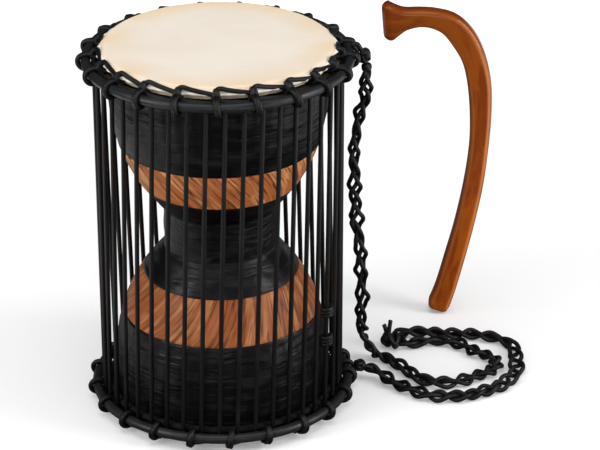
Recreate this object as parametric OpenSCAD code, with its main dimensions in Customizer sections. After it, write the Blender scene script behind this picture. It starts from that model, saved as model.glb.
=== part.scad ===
// Hourglass talking drum with two laced heads, its shoulder strap and its hooked beater.
// The drum stands on its lower head. The origin is the middle of that head's face, +Z is up,
// and the player's side, with the strap on the right, faces -Y. Millimetres throughout.

/* [Shell] */
// Height of the drum from head face to head face
drum_h = 298; // [270:1:330]
// Outer radius of the shell at its two rims
shell_rim_r = 86; // [84:0.5:88]
// Outer radius of the shell's narrow waist
waist_r = 44.5; // [38:0.5:52]
// Half length of the straight part of the waist
waist_half = 17; // [10:1:26]
// Wall of the turned wooden shell
shell_wall = 8; // [5:0.5:12]
// How full the two bowls are, as the power of their curve
bowl_power = 3; // [2.4:0.1:3.6]
// Depth of the cut that edges each band of bare wood
band_groove = 0.8; // [0.3:0.1:1.5]
// Distance from the shell's middle to the near edge of the bare bands
band_near = 38.5; // [34:0.5:44]
// Width of the bare bands, measured along the drum's height
band_w = 33; // [26:0.5:38]

/* [Heads] */
// Thickness of the goat skin
skin_t = 0.9; // [0.6:0.1:1.2]
// Clearance between the skin's collar and the shell
skin_gap = 0.2; // [0.1:0.05:0.4]
// Diameter of the flesh hoop that the skin is lapped round
hoop_d = 3.8; // [3.2:0.1:4]
// Distance of the flesh hoop behind the face
hoop_h = 12.5; // [12:0.5:16]

/* [Tension rings] */
// Diameter of the steel rod that the rings are bent from
ring_rod_d = 7.6; // [6:0.1:8]
// Distance of each ring behind its head's face
ring_h = 11; // [10:0.5:14]
// Clearance between a ring and the cords inside it
ring_gap = 0.35; // [0.3:0.05:0.6]

/* [Lacing] */
// Diameter of the braided rope
rope_d = 3.6; // [3:0.1:3.8]
// Number of hitches on each ring, with two cords to a hitch
hitches = 21; // [17:2:21]
// Clearance between the cords and the lapped flesh hoop
cord_gap = 0.35; // [0.3:0.05:0.8]
// Turn of the lower lacing against the upper, in degrees
lacing_lean = -5; // [-7:0.5:-3]
// Turn of the first upper hitch from the front, in degrees
first_hitch = 0.7; // [-4:0.1:4]
// Clearance between two turns of rope that lie on each other
rope_gap = 0.15; // [0.1:0.05:0.4]
// Cords in each of the two side bundles that bow in when squeezed
side_cords = 7; // [5:2:9]
// Slot between the upper and lower halves of the squeezed cords
mid_gap = 0.6; // [0.5:0.1:1]

/* [Beater] */
// Thickness of the beater from front to back
beater_t = 15; // [12:0.5:18]
// Width of the beater's striking face, at the end of its flare
beater_face = 25.8; // [20:0.2:30]
// Height of the beater, standing on its foot
beater_h = 280.5; // [250:0.5:290]

/* [Strap] */
// Diameter of the loosely braided strap
strap_d = 11; // [9:0.5:11]
// Radius of the round knots that end the strap
knot_r = 6.4; // [6.2:0.1:8]

/* [Hidden] */
SKIN = [0.93, 0.88, 0.79];
ROPE = [0.13, 0.13, 0.13];
STEEL = [0.27, 0.27, 0.29];
WOOD = [0.55, 0.27, 0.10];
mid = drum_h / 2;
// The collar lies on the rim, and its outer end is lapped round the hoop.
collar_in = shell_rim_r + skin_gap;
lap_r = hoop_d / 2 + 0.05;
hoop_r = collar_in + skin_t + lap_r;
lap_out = hoop_r + lap_r + skin_t;
// The cords pass between the lapped hoop and the ring.
cord_r = lap_out + cord_gap + rope_d / 2;
ring_r = cord_r + rope_d / 2 + ring_gap + ring_rod_d / 2;
pitch = 360 / hitches;
cords = 2 * hitches;
turn_r = ring_rod_d / 2 + rope_d / 2 + rope_gap / 2;
// Each rim loop leans: its strands lie on the head's edge and on the gap beside the ring.
// The lower loops lie flatter, clear of the floor and of the ring.
loop_in_r = collar_in + skin_t + rope_d / 2 + 1.4;
loop_out_r = cord_r - 0.25;
loop_rise = 6.1;
low_loop_out_r = cord_r - 0.85;
low_loop_rise = 4.6;
loop_lean = 0.15;
top_loop_h = 0.7;
bottom_loop_h = 3;
loop_half = 0.9 * 3.14159 * (loop_in_r + loop_out_r) / 2 / hitches;

// ---------- the shell ----------
// Outer radius at a distance from the middle: a straight waist, then a bowl.
function bowl_s(t) = max(0, (t - waist_half) / (mid - skin_t - 0.1 - waist_half));
function bowl_r(t) = waist_r + (shell_rim_r - waist_r) * (1 - pow(1 - min(1, bowl_s(t)), bowl_power));
bowl_steps = 16;
function bowl_t(i) = waist_half + (mid - 4 - waist_half) * pow(i / bowl_steps, 1.25);
outer_half = concat(
    [for (i = [0 : bowl_steps]) [bowl_r(bowl_t(i)), bowl_t(i)]],
    [[shell_rim_r, mid - skin_t - 2.1], [shell_rim_r - 0.6, mid - skin_t - 0.7],
     [shell_rim_r - 2, mid - skin_t - 0.1]]);
inner_half = concat(
    [for (i = [0 : 2 : bowl_steps]) [bowl_r(bowl_t(i)) - shell_wall, bowl_t(i)]],
    [[shell_rim_r - shell_wall + 1, mid - skin_t - 1.5],
     [shell_rim_r - shell_wall + 2.5, mid - skin_t - 0.1]]);
function flip(p) = [for (i = [len(p) - 1 : -1 : 0]) [p[i][0], -p[i][1]]];

module band_cut(t) {
    r = bowl_r(t);
    rotate_extrude($fn = 96)
        translate([r, t]) rotate(45) square(band_groove * 1.414, center = true);
}

module shell() {
    color([0.10, 0.10, 0.11])
        translate([0, 0, mid])
            difference() {
                rotate_extrude($fn = 96)
                    polygon(concat(flip(outer_half), outer_half,
                        [for (i = [len(inner_half) - 1 : -1 : 0]) inner_half[i]],
                        [for (i = [0 : len(inner_half) - 1]) [inner_half[i][0], -inner_half[i][1]]]));
                for (s = [-1, 1]) {
                    band_cut(s * band_near);
                    band_cut(s * (band_near + band_w));
                }
            }
}

// ---------- one head, drawn as the lower one: the face at height 0, the drum above it ----------
function arc(c, r, a0, a1, n) =
    [for (i = [0 : n]) let (a = a0 + (a1 - a0) * i / n) [c[0] + r * cos(a), c[1] + r * sin(a)]];

module at_end(top) {
    translate([0, 0, top ? drum_h : 0])
        mirror([0, 0, top ? 1 : 0])
            children();
}

// The skin: a flat face, a round shoulder, a collar, and the lap round the flesh hoop.
module head_skin() {
    shoulder = 3;
    out_r = collar_in + skin_t;
    color(SKIN)
        rotate_extrude($fn = 96)
            polygon(concat(
                [[0, 0]],
                arc([out_r - shoulder, shoulder], shoulder, -90, 0, 6),
                arc([hoop_r, hoop_h], lap_r, 180, 0, 12),
                [for (p = [0]) [lap_out - skin_t, hoop_h - 0.9]],
                [for (p = [0]) [lap_out, hoop_h - 0.9]],
                arc([hoop_r, hoop_h], lap_r + skin_t, 0, 180, 12),
                arc([out_r - shoulder, shoulder], shoulder - skin_t, 0, -90, 6),
                [[0, skin_t]]));
}

module flesh_hoop() {
    color([0.75, 0.62, 0.42])
        rotate_extrude($fn = 96)
            translate([hoop_r, hoop_h]) circle(d = hoop_d, $fn = 24);
}

module tension_ring() {
    color(STEEL)
        rotate_extrude($fn = 96)
            translate([ring_r, ring_h]) circle(d = ring_rod_d, $fn = 32);
}

// One loop of the rim lacing, a flat link of rope with two straight strands.
module rope_link(half, r) {
    for (s = [-1, 1]) {
        translate([-half, s * r, 0]) rotate([0, 90, 0])
            cylinder(d = rope_d, h = 2 * half, $fn = 24);
        translate([s * half, 0, 0]) rotate([0, 0, s > 0 ? -90 : 90])
            rotate_extrude(angle = 180, $fn = 48)
                translate([r, 0]) circle(d = rope_d, $fn = 24);
    }
}

// The loops follow each other round the edge, the left end of each lying over its neighbour.
module rim_loops(start, inner_h, out_r, rise) {
    dr = out_r - loop_in_r;
    r = norm([dr, rise]) / 2;
    color(ROPE)
        for (i = [0 : hitches - 1])
            rotate([0, 0, start + (i + 0.5) * pitch])
                translate([0, -(loop_in_r + out_r) / 2, inner_h + rise / 2])
                    rotate([atan2(rise, -dr), 0, 0])
                        rotate([0, atan(loop_lean), 0])
                            rope_link(loop_half, r);
}

// A turn of rope round the ring's outside, from below the rim loops to behind the ring.
module ring_turn(from, to) {
    rotate([-90, 0, -90])
        rotate([0, 0, from])
            rotate_extrude(angle = to - from, $fn = 48)
                translate([turn_r, 0]) circle(d = rope_d, $fn = 24);
}

module ring_hitches(start) {
    color(ROPE)
        for (i = [0 : hitches - 1])
            rotate([0, 0, start + i * pitch])
                translate([0, -ring_r, ring_h])
                    ring_turn(-160, 80);
}

module top_head_skin() { at_end(true) head_skin(); }
module bottom_head_skin() { at_end(false) head_skin(); }
module top_flesh_hoop() { at_end(true) flesh_hoop(); }
module bottom_flesh_hoop() { at_end(false) flesh_hoop(); }
module top_ring() { at_end(true) tension_ring(); }
module bottom_ring() { at_end(false) tension_ring(); }
module top_rim_loops() { at_end(true) rim_loops(first_hitch, top_loop_h, loop_out_r, loop_rise); }
module bottom_rim_loops() {
    at_end(false) rim_loops(low_hitch, bottom_loop_h, low_loop_out_r, low_loop_rise);
}
module top_ring_hitches() { at_end(true) ring_hitches(first_hitch); }
module bottom_ring_hitches() { at_end(false) ring_hitches(low_hitch); }

// ---------- the tension cords ----------
// The lower hitches sit between the upper ones, turned by the lean of the lacing.
low_hitch = first_hitch + pitch / 2 + lacing_lean;
// Each cord ends just behind the outer strand of its rim loop.
cord_top = drum_h - top_loop_h - loop_rise - rope_d / 2 - 1.1;
cord_bottom = bottom_loop_h + low_loop_rise + rope_d / 2 + 3.1;
function cord_az(i) = first_hitch + (i + 0.5) * pitch / 2;
function cord_at(i, z) =
    let (k = (z - cord_bottom) / (cord_top - cord_bottom),
         a1 = cord_az(i), a0 = cord_az(i) + lacing_lean,
         p0 = cord_r * [sin(a0), -cos(a0)], p1 = cord_r * [sin(a1), -cos(a1)])
    let (p = p0 + (p1 - p0) * k) [p[0], p[1], z];

// A straight cord between two heights, its ends cut level.
module cord(i, z0, z1) {
    a = cord_at(i, z0);
    b = cord_at(i, z1);
    d = b - a;
    translate(a)
        rotate([0, 0, atan2(d[1], d[0])])
            rotate([0, acos(d[2] / norm(d)), 0])
                cylinder(d = rope_d, h = norm(d), $fn = 24);
}

module cord_set(from, to, z0, z1) {
    color(ROPE)
        for (i = [from : to])
            cord(i, z0, z1);
}

// The side bundles are centred on the drum's left and right.
right_mid = round((90 - first_hitch) / (pitch / 2) - 0.5);
left_mid = round((270 - first_hitch) / (pitch / 2) - 0.5);
reach = (side_cords - 1) / 2;
module cords_front() {
    cord_set(left_mid + reach + 1 - cords, right_mid - reach - 1, cord_bottom, cord_top);
}
module cords_back() { cord_set(right_mid + reach + 1, left_mid - reach - 1, cord_bottom, cord_top); }
module cords_right_upper() {
    cord_set(right_mid - reach, right_mid + reach, mid + mid_gap / 2, cord_top);
}
module cords_right_lower() {
    cord_set(right_mid - reach, right_mid + reach, cord_bottom, mid - mid_gap / 2);
}
module cords_left_upper() {
    cord_set(left_mid - reach, left_mid + reach, mid + mid_gap / 2, cord_top);
}
module cords_left_lower() {
    cord_set(left_mid - reach, left_mid + reach, cord_bottom, mid - mid_gap / 2);
}

// The tension rope's two ends are tied off round the first cord of the right bundle.
module tie_off_knots() {
    color(ROPE)
        for (z = [tie_low, tie_high])
            translate(cord_at(right_mid - reach, z))
                for (s = [-1, 0, 1])
                    translate([0, 0, s * (rope_d + rope_gap)])
                        rotate_extrude($fn = 48)
                            translate([rope_d + rope_gap, 0]) circle(d = rope_d, $fn = 24);
}
tie_low = 68;
tie_high = 93;

// ---------- the strap ----------
// The tube's rings follow its route; each ring is turned as little as possible from the last.
function unit(v) = v / norm(v);
function tangent(p, i) =
    let (n = len(p) - 1)
    i == 0 ? unit(p[1] - p[0]) : i == n ? unit(p[n] - p[n - 1])
    : unit(unit(p[i + 1] - p[i]) + unit(p[i] - p[i - 1]));
function carried(n, t) = unit(n - (n * t) * t);
function sides_of(d, first) =
    [for (i = 0, n = carried(first, d[0]); i < len(d); i = i + 1,
          n = i < len(d) ? carried(n, d[i]) : n) n];

// d holds the direction at each point, so that two tubes can meet in one plane.
module swept(p, d, r, sides, first) {
    n = sides_of(d, first);
    count = len(p);
    points = [for (i = [0 : count - 1]) let (t = d[i], b = cross(t, n[i]))
        for (k = [0 : sides - 1]) let (a = 360 * k / sides)
            p[i] + r * (cos(a) * n[i] + sin(a) * b)];
    faces = concat(
        [for (i = [0 : count - 2]) for (k = [0 : sides - 1]) let (m = (k + 1) % sides)
            [i * sides + k, (i + 1) * sides + k, i * sides + m]],
        [for (i = [0 : count - 2]) for (k = [0 : sides - 1]) let (m = (k + 1) % sides)
            [i * sides + m, (i + 1) * sides + k, (i + 1) * sides + m]],
        [for (k = [1 : sides - 2]) [0, k, k + 1]],
        [for (k = [1 : sides - 2]) let (e = (count - 1) * sides) [e, e + k + 1, e + k]]);
    polyhedron(points, faces, convexity = 10);
}

// The knots sit just outside the rings; the strap leaves the upper one straight down.
top_knot_az = 95;
bottom_knot_az = 98.5;
knot_out = 11.5;
knot_flat = sqrt(knot_r * knot_r - pow(strap_d / 2 + 0.1, 2));
function knot_at(az, z) = [(ring_r + knot_out) * sin(az), -(ring_r + knot_out) * cos(az), z];
top_knot = knot_at(top_knot_az, drum_h - ring_h - 3.5);
low_knot = top_knot + [1.7, 0, -9.5];
low_knot_r = knot_r - 1.8;
bottom_knot = knot_at(bottom_knot_az, ring_h + 0.5);
leave_az = -15;
leave = [cos(leave_az), sin(leave_az), 0];

// A turn round the ring, its tail to the knot, and the knot itself.
module ring_knot(az, z, h) {
    rotate([0, 0, az])
        translate([0, -ring_r, z]) {
            mirror([0, 0, z > mid ? 1 : 0]) ring_turn(-160, 60);
            translate([0, -turn_r - rope_d / 2 + 0.4, 0]) rotate([90, 0, 0])
                cylinder(d = rope_d, h = h, $fn = 24);
        }
}

module strap_top_knot() {
    color(ROPE) {
        ring_knot(top_knot_az, drum_h - ring_h, 3);
        difference() {
            union() {
                translate(top_knot) sphere(r = knot_r, $fn = 48);
                translate(low_knot) sphere(r = low_knot_r, $fn = 48);
            }
            translate(low_knot - [0, 0, knot_flat - 1 + 10]) cube(20, center = true);
        }
    }
}

module strap_bottom_knot() {
    color(ROPE) {
        ring_knot(bottom_knot_az, ring_h, 3);
        translate(bottom_knot)
            rotate([0, 0, leave_az])
                difference() {
                    sphere(r = knot_r, $fn = 48);
                    translate([knot_flat + 10, 0, 0]) cube(20, center = true);
                }
    }
}

// The route: down beside the drum, along the floor, round a small loop, back on itself at
// the tails, and round a large loop to the lower ring.
floor_z = strap_d / 2 + 0.2;
hang = [[113, 12, 250], [108, 18, 230], [102, 23, 205], [101, 25, 180], [103, 26, 150],
        [106, 27, 120], [108, 29, 92], [109, 32, 66], [111, 37, 42], [115, 43, 22],
        [122, 47, 9.5]];
// The small loop, the turn at the tails and the large loop, as seen from above.
small_loop = [[129, 46], [136, 39], [143, 28.5], [150.5, 17.5], [159, 8], [170, 2.2], [182, 2.5],
    [194, 7.5], [206, 14], [216, 21], [222.7, 30], [222.5, 39.5], [214.5, 48], [205, 56], [196, 63.5],
    [185, 69.8], [173, 72], [162, 69.5]];
turn_mid = [155, 77];
turn_r2 = 10.7;
back_turn = [for (a = [270 : -30 : 90]) turn_mid + turn_r2 * [cos(a), sin(a)]];
large_loop = [[164, 86.6], [175, 85.8], [187, 85.6], [199, 85], [211, 83.2], [222, 79.5], [231, 72.5],
    [236.5, 62], [238, 48], [237.6, 34], [235.8, 20], [231.5, 8], [225, -2], [216, -10], [205, -16],
    [192, -19.5], [179, -20], [168, -18.5], [158, -14.3], [149, -8.3], [140, -1.5]];
on_floor = [for (p = concat(small_loop, back_turn, large_loop)) [p[0], p[1], floor_z]];
coil_end = bottom_knot + knot_flat * leave;
way_home = [[132, 6.2, 6.6], [125.3, 11.6, 9]];
hang_route = concat([low_knot - [0, 0, knot_flat - 1], low_knot - [0, 0, knot_flat + strap_d]],
    hang);
coil_route = concat([hang[len(hang) - 1]], on_floor, way_home,
    [coil_end + strap_d * 0.55 * leave, coil_end]);

// Least distance between two stretches of the coil that aren't neighbours, less its width.
coil_gap = min([for (i = [0 : len(coil_route) - 1]) for (j = [i + 5 : 1 : len(coil_route) - 1])
    norm(coil_route[i] - coil_route[j])]) - strap_d;
echo(coil_gap_to_itself = coil_gap);
echo(strap_length = route_len(hang_route) + route_len(coil_route));
function route_len(p) = sum([for (i = [0 : len(p) - 2]) norm(p[i + 1] - p[i])]);
function sum(v, i = 0) = i < len(v) ? v[i] + sum(v, i + 1) : 0;

// The hanging part and the coil meet square to the one direction between them.
hang_end = len(hang) - 1;
meet = unit(unit(hang[hang_end] - hang[hang_end - 1]) + unit(on_floor[0] - hang[hang_end]));
hang_dirs = [for (i = [0 : len(hang_route) - 1])
    i == len(hang_route) - 1 ? meet : tangent(hang_route, i)];
coil_dirs = [for (i = [0 : len(coil_route) - 1]) i == 0 ? meet : tangent(coil_route, i)];
module strap_hanging() { color(ROPE) swept(hang_route, hang_dirs, strap_d / 2, 8, [1, 0, 0]); }
module strap_coil() { color(ROPE) swept(coil_route, coil_dirs, strap_d / 2, 8, [0, 0, 1]); }

// A knot lies against the turn where the strap doubles back, and three rope ends leave it.
tie_r = 6;
tie_az = 200;
tie_reach = turn_r2 + strap_d / 2 - 0.7 + tie_r;
tie_at = [turn_mid[0] + tie_reach * cos(tie_az), turn_mid[1] + tie_reach * sin(tie_az), tie_r + 0.2];
module strap_tails() {
    color(ROPE)
        translate(tie_at) {
            sphere(r = tie_r, $fn = 48);
            for (p = [[127, 24, 14], [72, 25, 17], [-62, 94, 13]])
                rotate([0, 0, p[0]]) rotate([0, p[1], 0])
                    cylinder(d = rope_d, h = p[2], $fn = 24);
        }
}

// ---------- the beater ----------
// Stations along the stick: distance right of the foot, share of the height, width in the bend's
// plane. A smooth curve is drawn through them.
foot = [178.5, 134];
stations = [[1.7, 0.0291, 18.3], [6.9, 0.0866, 17.5], [13.7, 0.1849, 17.1], [20.8, 0.2949, 16.5],
    [27.3, 0.423, 16.4], [31, 0.5481, 16], [31.6, 0.6507, 17.7], [29.7, 0.7466, 19.4],
    [24.6, 0.8246, 19.6], [15.5, 0.8876, 20.8], [4.7, 0.9285, 18.9], [-8, 0.9467, 16],
    [-19.9, 0.9509, 15.4], [-30.6, 0.9466, 17.8], [-37, 0.9438, 23.9], [-43.4, 0.9412, 32.9]];
function mix(a, b, c, d, t) = 0.5 * ((2 * b) + (c - a) * t + (2 * a - 5 * b + 4 * c - d) * t * t
    + (3 * b - a - 3 * c + d) * t * t * t);
function station(i) = stations[max(0, min(len(stations) - 1, i))];
per = 3;
stick = [for (i = [0 : len(stations) - 2]) for (k = [0 : per - 1])
    mix(station(i - 1), station(i), station(i + 1), station(i + 2), k / per)];
function stick_point(s) = [foot[0] + s[0], foot[1], s[1] * beater_h];

// Each section is a rectangle with well rounded corners, square to the curve.
module beater() {
    last = [-49.9, 0.9393, beater_face];
    rows = concat([[-0.1, 0.009, 16.6]], stick, [station(len(stations) - 1), last]);
    mids = [for (s = rows) stick_point(s)];
    n = len(rows);
    section = [for (q = [0 : 3]) for (k = [0 : 3])
        let (a = 90 * q + 90 * k / 3, sx = q == 0 || q == 3 ? 1 : -1, sy = q < 2 ? 1 : -1)
            [sx, sy, cos(a), sin(a)]];
    m = len(section);
    round_r = 5;
    points = [for (i = [0 : n - 1])
        let (t = tangent(mids, i), side = [t[2], 0, -t[0]], w = rows[i][2] / 2, h = beater_t / 2,
             c = i == 0 ? 4.4 : round_r)
        for (p = section)
            mids[i] + side * (p[0] * (w - c) + c * p[2]) + [0, 1, 0] * (p[1] * (h - c) + c * p[3])];
    faces = concat(
        [for (i = [0 : n - 2]) for (k = [0 : m - 1]) let (j = (k + 1) % m)
            [i * m + k, (i + 1) * m + k, i * m + j]],
        [for (i = [0 : n - 2]) for (k = [0 : m - 1]) let (j = (k + 1) % m)
            [i * m + j, (i + 1) * m + k, (i + 1) * m + j]],
        [for (k = [1 : m - 2]) [0, k, k + 1]],
        [for (k = [1 : m - 2]) let (e = (n - 1) * m) [e, e + k + 1, e + k]]);
    color(WOOD) polyhedron(points, faces, convexity = 6);
}

shell();
top_head_skin();
bottom_head_skin();
top_flesh_hoop();
bottom_flesh_hoop();
top_ring();
bottom_ring();
top_rim_loops();
bottom_rim_loops();
top_ring_hitches();
bottom_ring_hitches();
cords_front();
cords_back();
cords_right_upper();
cords_right_lower();
cords_left_upper();
cords_left_lower();
tie_off_knots();
strap_top_knot();
strap_bottom_knot();
strap_hanging();
strap_coil();
strap_tails();
beater();
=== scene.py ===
"""Looks of an hourglass talking drum, its braided strap and its hooked beater.

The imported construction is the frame. Each sub-assembly is a class that builds its visible
pieces in the row frame and dresses them. Sizes are millimetres until a mesh is made, and the
numbers that the construction also has are repeated here under the same meaning.
"""

from __future__ import annotations

import logging
import math
from dataclasses import dataclass, field
from enum import Enum
from typing import Any, Iterable, Sequence

import bmesh
import bpy
import numpy as np
from mathutils import Matrix, Vector
from mathutils.kdtree import KDTree


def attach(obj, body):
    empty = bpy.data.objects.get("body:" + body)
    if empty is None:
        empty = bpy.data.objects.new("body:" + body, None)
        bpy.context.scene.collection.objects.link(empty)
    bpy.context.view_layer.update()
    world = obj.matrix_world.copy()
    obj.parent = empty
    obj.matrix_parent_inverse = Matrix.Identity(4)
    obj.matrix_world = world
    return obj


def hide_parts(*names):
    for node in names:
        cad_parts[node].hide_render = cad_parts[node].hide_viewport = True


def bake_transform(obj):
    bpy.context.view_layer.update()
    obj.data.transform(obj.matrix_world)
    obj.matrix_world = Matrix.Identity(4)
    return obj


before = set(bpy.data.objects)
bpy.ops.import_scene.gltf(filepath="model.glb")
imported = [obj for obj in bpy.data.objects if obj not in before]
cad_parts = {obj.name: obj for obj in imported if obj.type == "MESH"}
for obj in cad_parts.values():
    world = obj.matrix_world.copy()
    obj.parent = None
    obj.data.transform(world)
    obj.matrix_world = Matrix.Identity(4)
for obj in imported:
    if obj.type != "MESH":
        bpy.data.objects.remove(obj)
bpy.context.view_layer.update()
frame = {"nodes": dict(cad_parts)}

LOG = logging.getLogger("drum")
SEED = 21
MM = 0.001
FULL_TURN = 2 * math.pi
WHITE = "#FFFFFF"
Point = Sequence[float]
Line = tuple[np.ndarray, bool]
Colour = tuple[float, float, float, float]


class Slot(Enum):
    """The record's material slots."""

    SHELL = "carved_wood"
    SKIN = "goat_skin"
    CANE = "cane"
    RING = "coated_steel"
    ROPE = "braided_rope"
    BEATER = "varnished_wood"


class Body(Enum):
    """The bodies that a piece can ride on."""

    DRUM = "drum"
    RIGHT_UPPER = "right_upper"
    RIGHT_LOWER = "right_lower"
    LEFT_UPPER = "left_upper"
    LEFT_LOWER = "left_lower"
    BEATER = "beater"


class Kind(Enum):
    """What a node does: its type, the inputs that values fill in turn, its output, its settings."""

    PLUS = ("ShaderNodeMath", (0, 1), 0, {"operation": "ADD"})
    MINUS = ("ShaderNodeMath", (0, 1), 0, {"operation": "SUBTRACT"})
    TIMES = ("ShaderNodeMath", (0, 1), 0, {"operation": "MULTIPLY"})
    TIMES_PLUS = ("ShaderNodeMath", (0, 1, 2), 0, {"operation": "MULTIPLY_ADD"})
    OVER = ("ShaderNodeMath", (0, 1), 0, {"operation": "DIVIDE"})
    LARGER = ("ShaderNodeMath", (0, 1), 0, {"operation": "MAXIMUM"})
    UNSIGNED = ("ShaderNodeMath", (0,), 0, {"operation": "ABSOLUTE"})
    SINE = ("ShaderNodeMath", (0,), 0, {"operation": "SINE"})
    BEARING = ("ShaderNodeMath", (0, 1), 0, {"operation": "ARCTAN2"})
    EASE = ("ShaderNodeMapRange", range(5), 0, {"interpolation_type": "SMOOTHSTEP"})
    MIX = ("ShaderNodeMix", (0, 6, 7), 2, {"data_type": "RGBA"})
    TINT = ("ShaderNodeMix", (0, 6, 7), 2, {"data_type": "RGBA", "blend_type": "MULTIPLY"})
    BETWEEN = ("ShaderNodeMix", (0, 2, 3), 0, {})
    PARTS = ("ShaderNodeSeparateXYZ", (0,), slice(0, 3), {})
    VECTOR = ("ShaderNodeCombineXYZ", (0, 1, 2), 0, {})
    VECTOR_PLUS = ("ShaderNodeVectorMath", (0, 1), 0, {"operation": "ADD"})
    VECTOR_TIMES = ("ShaderNodeVectorMath", (0, "Scale"), 0, {"operation": "SCALE"})
    UNIT = ("ShaderNodeVectorMath", (0,), 0, {"operation": "NORMALIZE"})
    LENGTH = ("ShaderNodeVectorMath", (0,), "Value", {"operation": "LENGTH"})
    RELIEF = ("ShaderNodeBump", ("Height", "Distance", "Strength"), 0, {})
    GLOW = ("ShaderNodeEmission", ("Color", "Strength"), 0, {})
    CARRIED = ("GeometryNodeInputNamedAttribute", ("Name",), "Attribute", {})
    KEEP = (
        "GeometryNodeStoreNamedAttribute", ("Geometry", "Name", "Value"), 0, {"domain": "POINT"}
    )
    MOVE = ("GeometryNodeSetPosition", ("Geometry", "Offset"), 0, {})


# ---------------------------------------------------------------- colour and node helpers
def linear(code: str) -> Colour:
    """Scene-linear colour of an sRGB hex code.

    Args:
        code: A colour such as "#F1E7D9".

    Returns:
        Red, green, blue and alpha for a Blender socket.
    """
    parts = [int(code[i : i + 2], 16) / 255 for i in (1, 3, 5)]
    lin = [c / 12.92 if c <= 0.04045 else ((c + 0.055) / 1.055) ** 2.4 for c in parts]
    return lin[0], lin[1], lin[2], 1.0


def add(
    tree: bpy.types.NodeTree, kind: Kind | str, *values: Any, out: int | str = 0, **settings: Any
) -> Any:
    """Adds one node, sets its properties, and sets or links its inputs.

    Args:
        tree: The node tree.
        kind: What the node does, or its type name.
        *values: Values or sockets for its inputs in turn, or one dictionary of its inputs.
        out: Which output to give back, where the kind doesn't say.
        **settings: Properties of the node.

    Returns:
        The output socket or sockets, or None for a node that has none.
    """
    keys: Iterable = range(len(values))
    if isinstance(kind, Kind):
        kind, keys, out, fixed = kind.value
        settings = {**fixed, **settings}
    node = tree.nodes.new(kind)
    for key, value in settings.items():
        setattr(node, key, value)
    given = values[0] if values and isinstance(values[0], dict) else dict(zip(keys, values))
    for key, value in given.items():
        socket = node.inputs[key]
        if isinstance(value, bpy.types.NodeSocket):
            tree.links.new(value, socket)
        else:
            socket.default_value = value
    return node.outputs[out] if len(node.outputs) else None


def lumps(
    tree: bpy.types.NodeTree,
    where: bpy.types.NodeSocket,
    size_mm: float | Point,
    detail: float = 3.0,
    warp: float = 0.0,
) -> bpy.types.NodeSocket:
    """A random pattern from 0 to 1 whose lumps have a real size.

    Args:
        tree: The node tree.
        where: Coordinates of the pattern.
        size_mm: Size of a lump in millimetres, the same all round or along each axis.
        detail: How many finer patterns lie in it.
        warp: How far its lines stray.

    Returns:
        The pattern.
    """
    sizes = (size_mm,) * 3 if isinstance(size_mm, (int, float)) else size_mm
    scale = tuple(1000.0 / s for s in sizes)
    scaled = add(tree, "ShaderNodeMapping", {"Vector": where, "Scale": scale})
    shape = {"Vector": scaled, "Scale": 1.0, "Detail": detail, "Roughness": 0.55}
    return add(tree, "ShaderNodeTexNoise", {**shape, "Distortion": warp}, out="Fac")


def layered(
    tree: bpy.types.NodeTree, base: str, layers: Iterable[tuple[Any, str]]
) -> bpy.types.NodeSocket:
    """Colours laid over each other.

    Args:
        tree: The node tree.
        base: Hex code of the lowest colour.
        layers: Share and hex code of each colour that lies over it, from the lowest up.

    Returns:
        The colour that shows.
    """
    colour: Any = linear(base)
    for share, code in layers:
        colour = add(tree, Kind.MIX, share, colour, linear(code))
    return colour


def blank_material(name: str) -> bpy.types.Material:
    """A material whose tree is empty.

    Args:
        name: Name of the real material.

    Returns:
        The new material.
    """
    material = bpy.data.materials.new(name)
    material.use_nodes = True
    material.node_tree.nodes.clear()
    return material


# ---------------------------------------------------------------- finishes
@dataclass(frozen=True)
class Finish:
    """A surface that is made as a node material, on Object coordinates and mesh attributes."""

    name: str = ""

    def paint(self, tree: bpy.types.NodeTree, where: bpy.types.NodeSocket) -> dict[str, Any]:
        """Works out the surface.

        Args:
            tree: The material's node tree.
            where: Object coordinates.

        Returns:
            Inputs of the Principled shader and what goes into them.
        """
        raise NotImplementedError

    def make(self) -> bpy.types.Material:
        """Builds the node material.

        Returns:
            The material, under the finish's name.
        """
        material = blank_material(self.name)
        tree = material.node_tree
        where = add(tree, "ShaderNodeTexCoord", out="Object")
        shader = add(tree, "ShaderNodeBsdfPrincipled", self.paint(tree, where))
        add(tree, "ShaderNodeOutputMaterial", {"Surface": shader})
        return material


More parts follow.
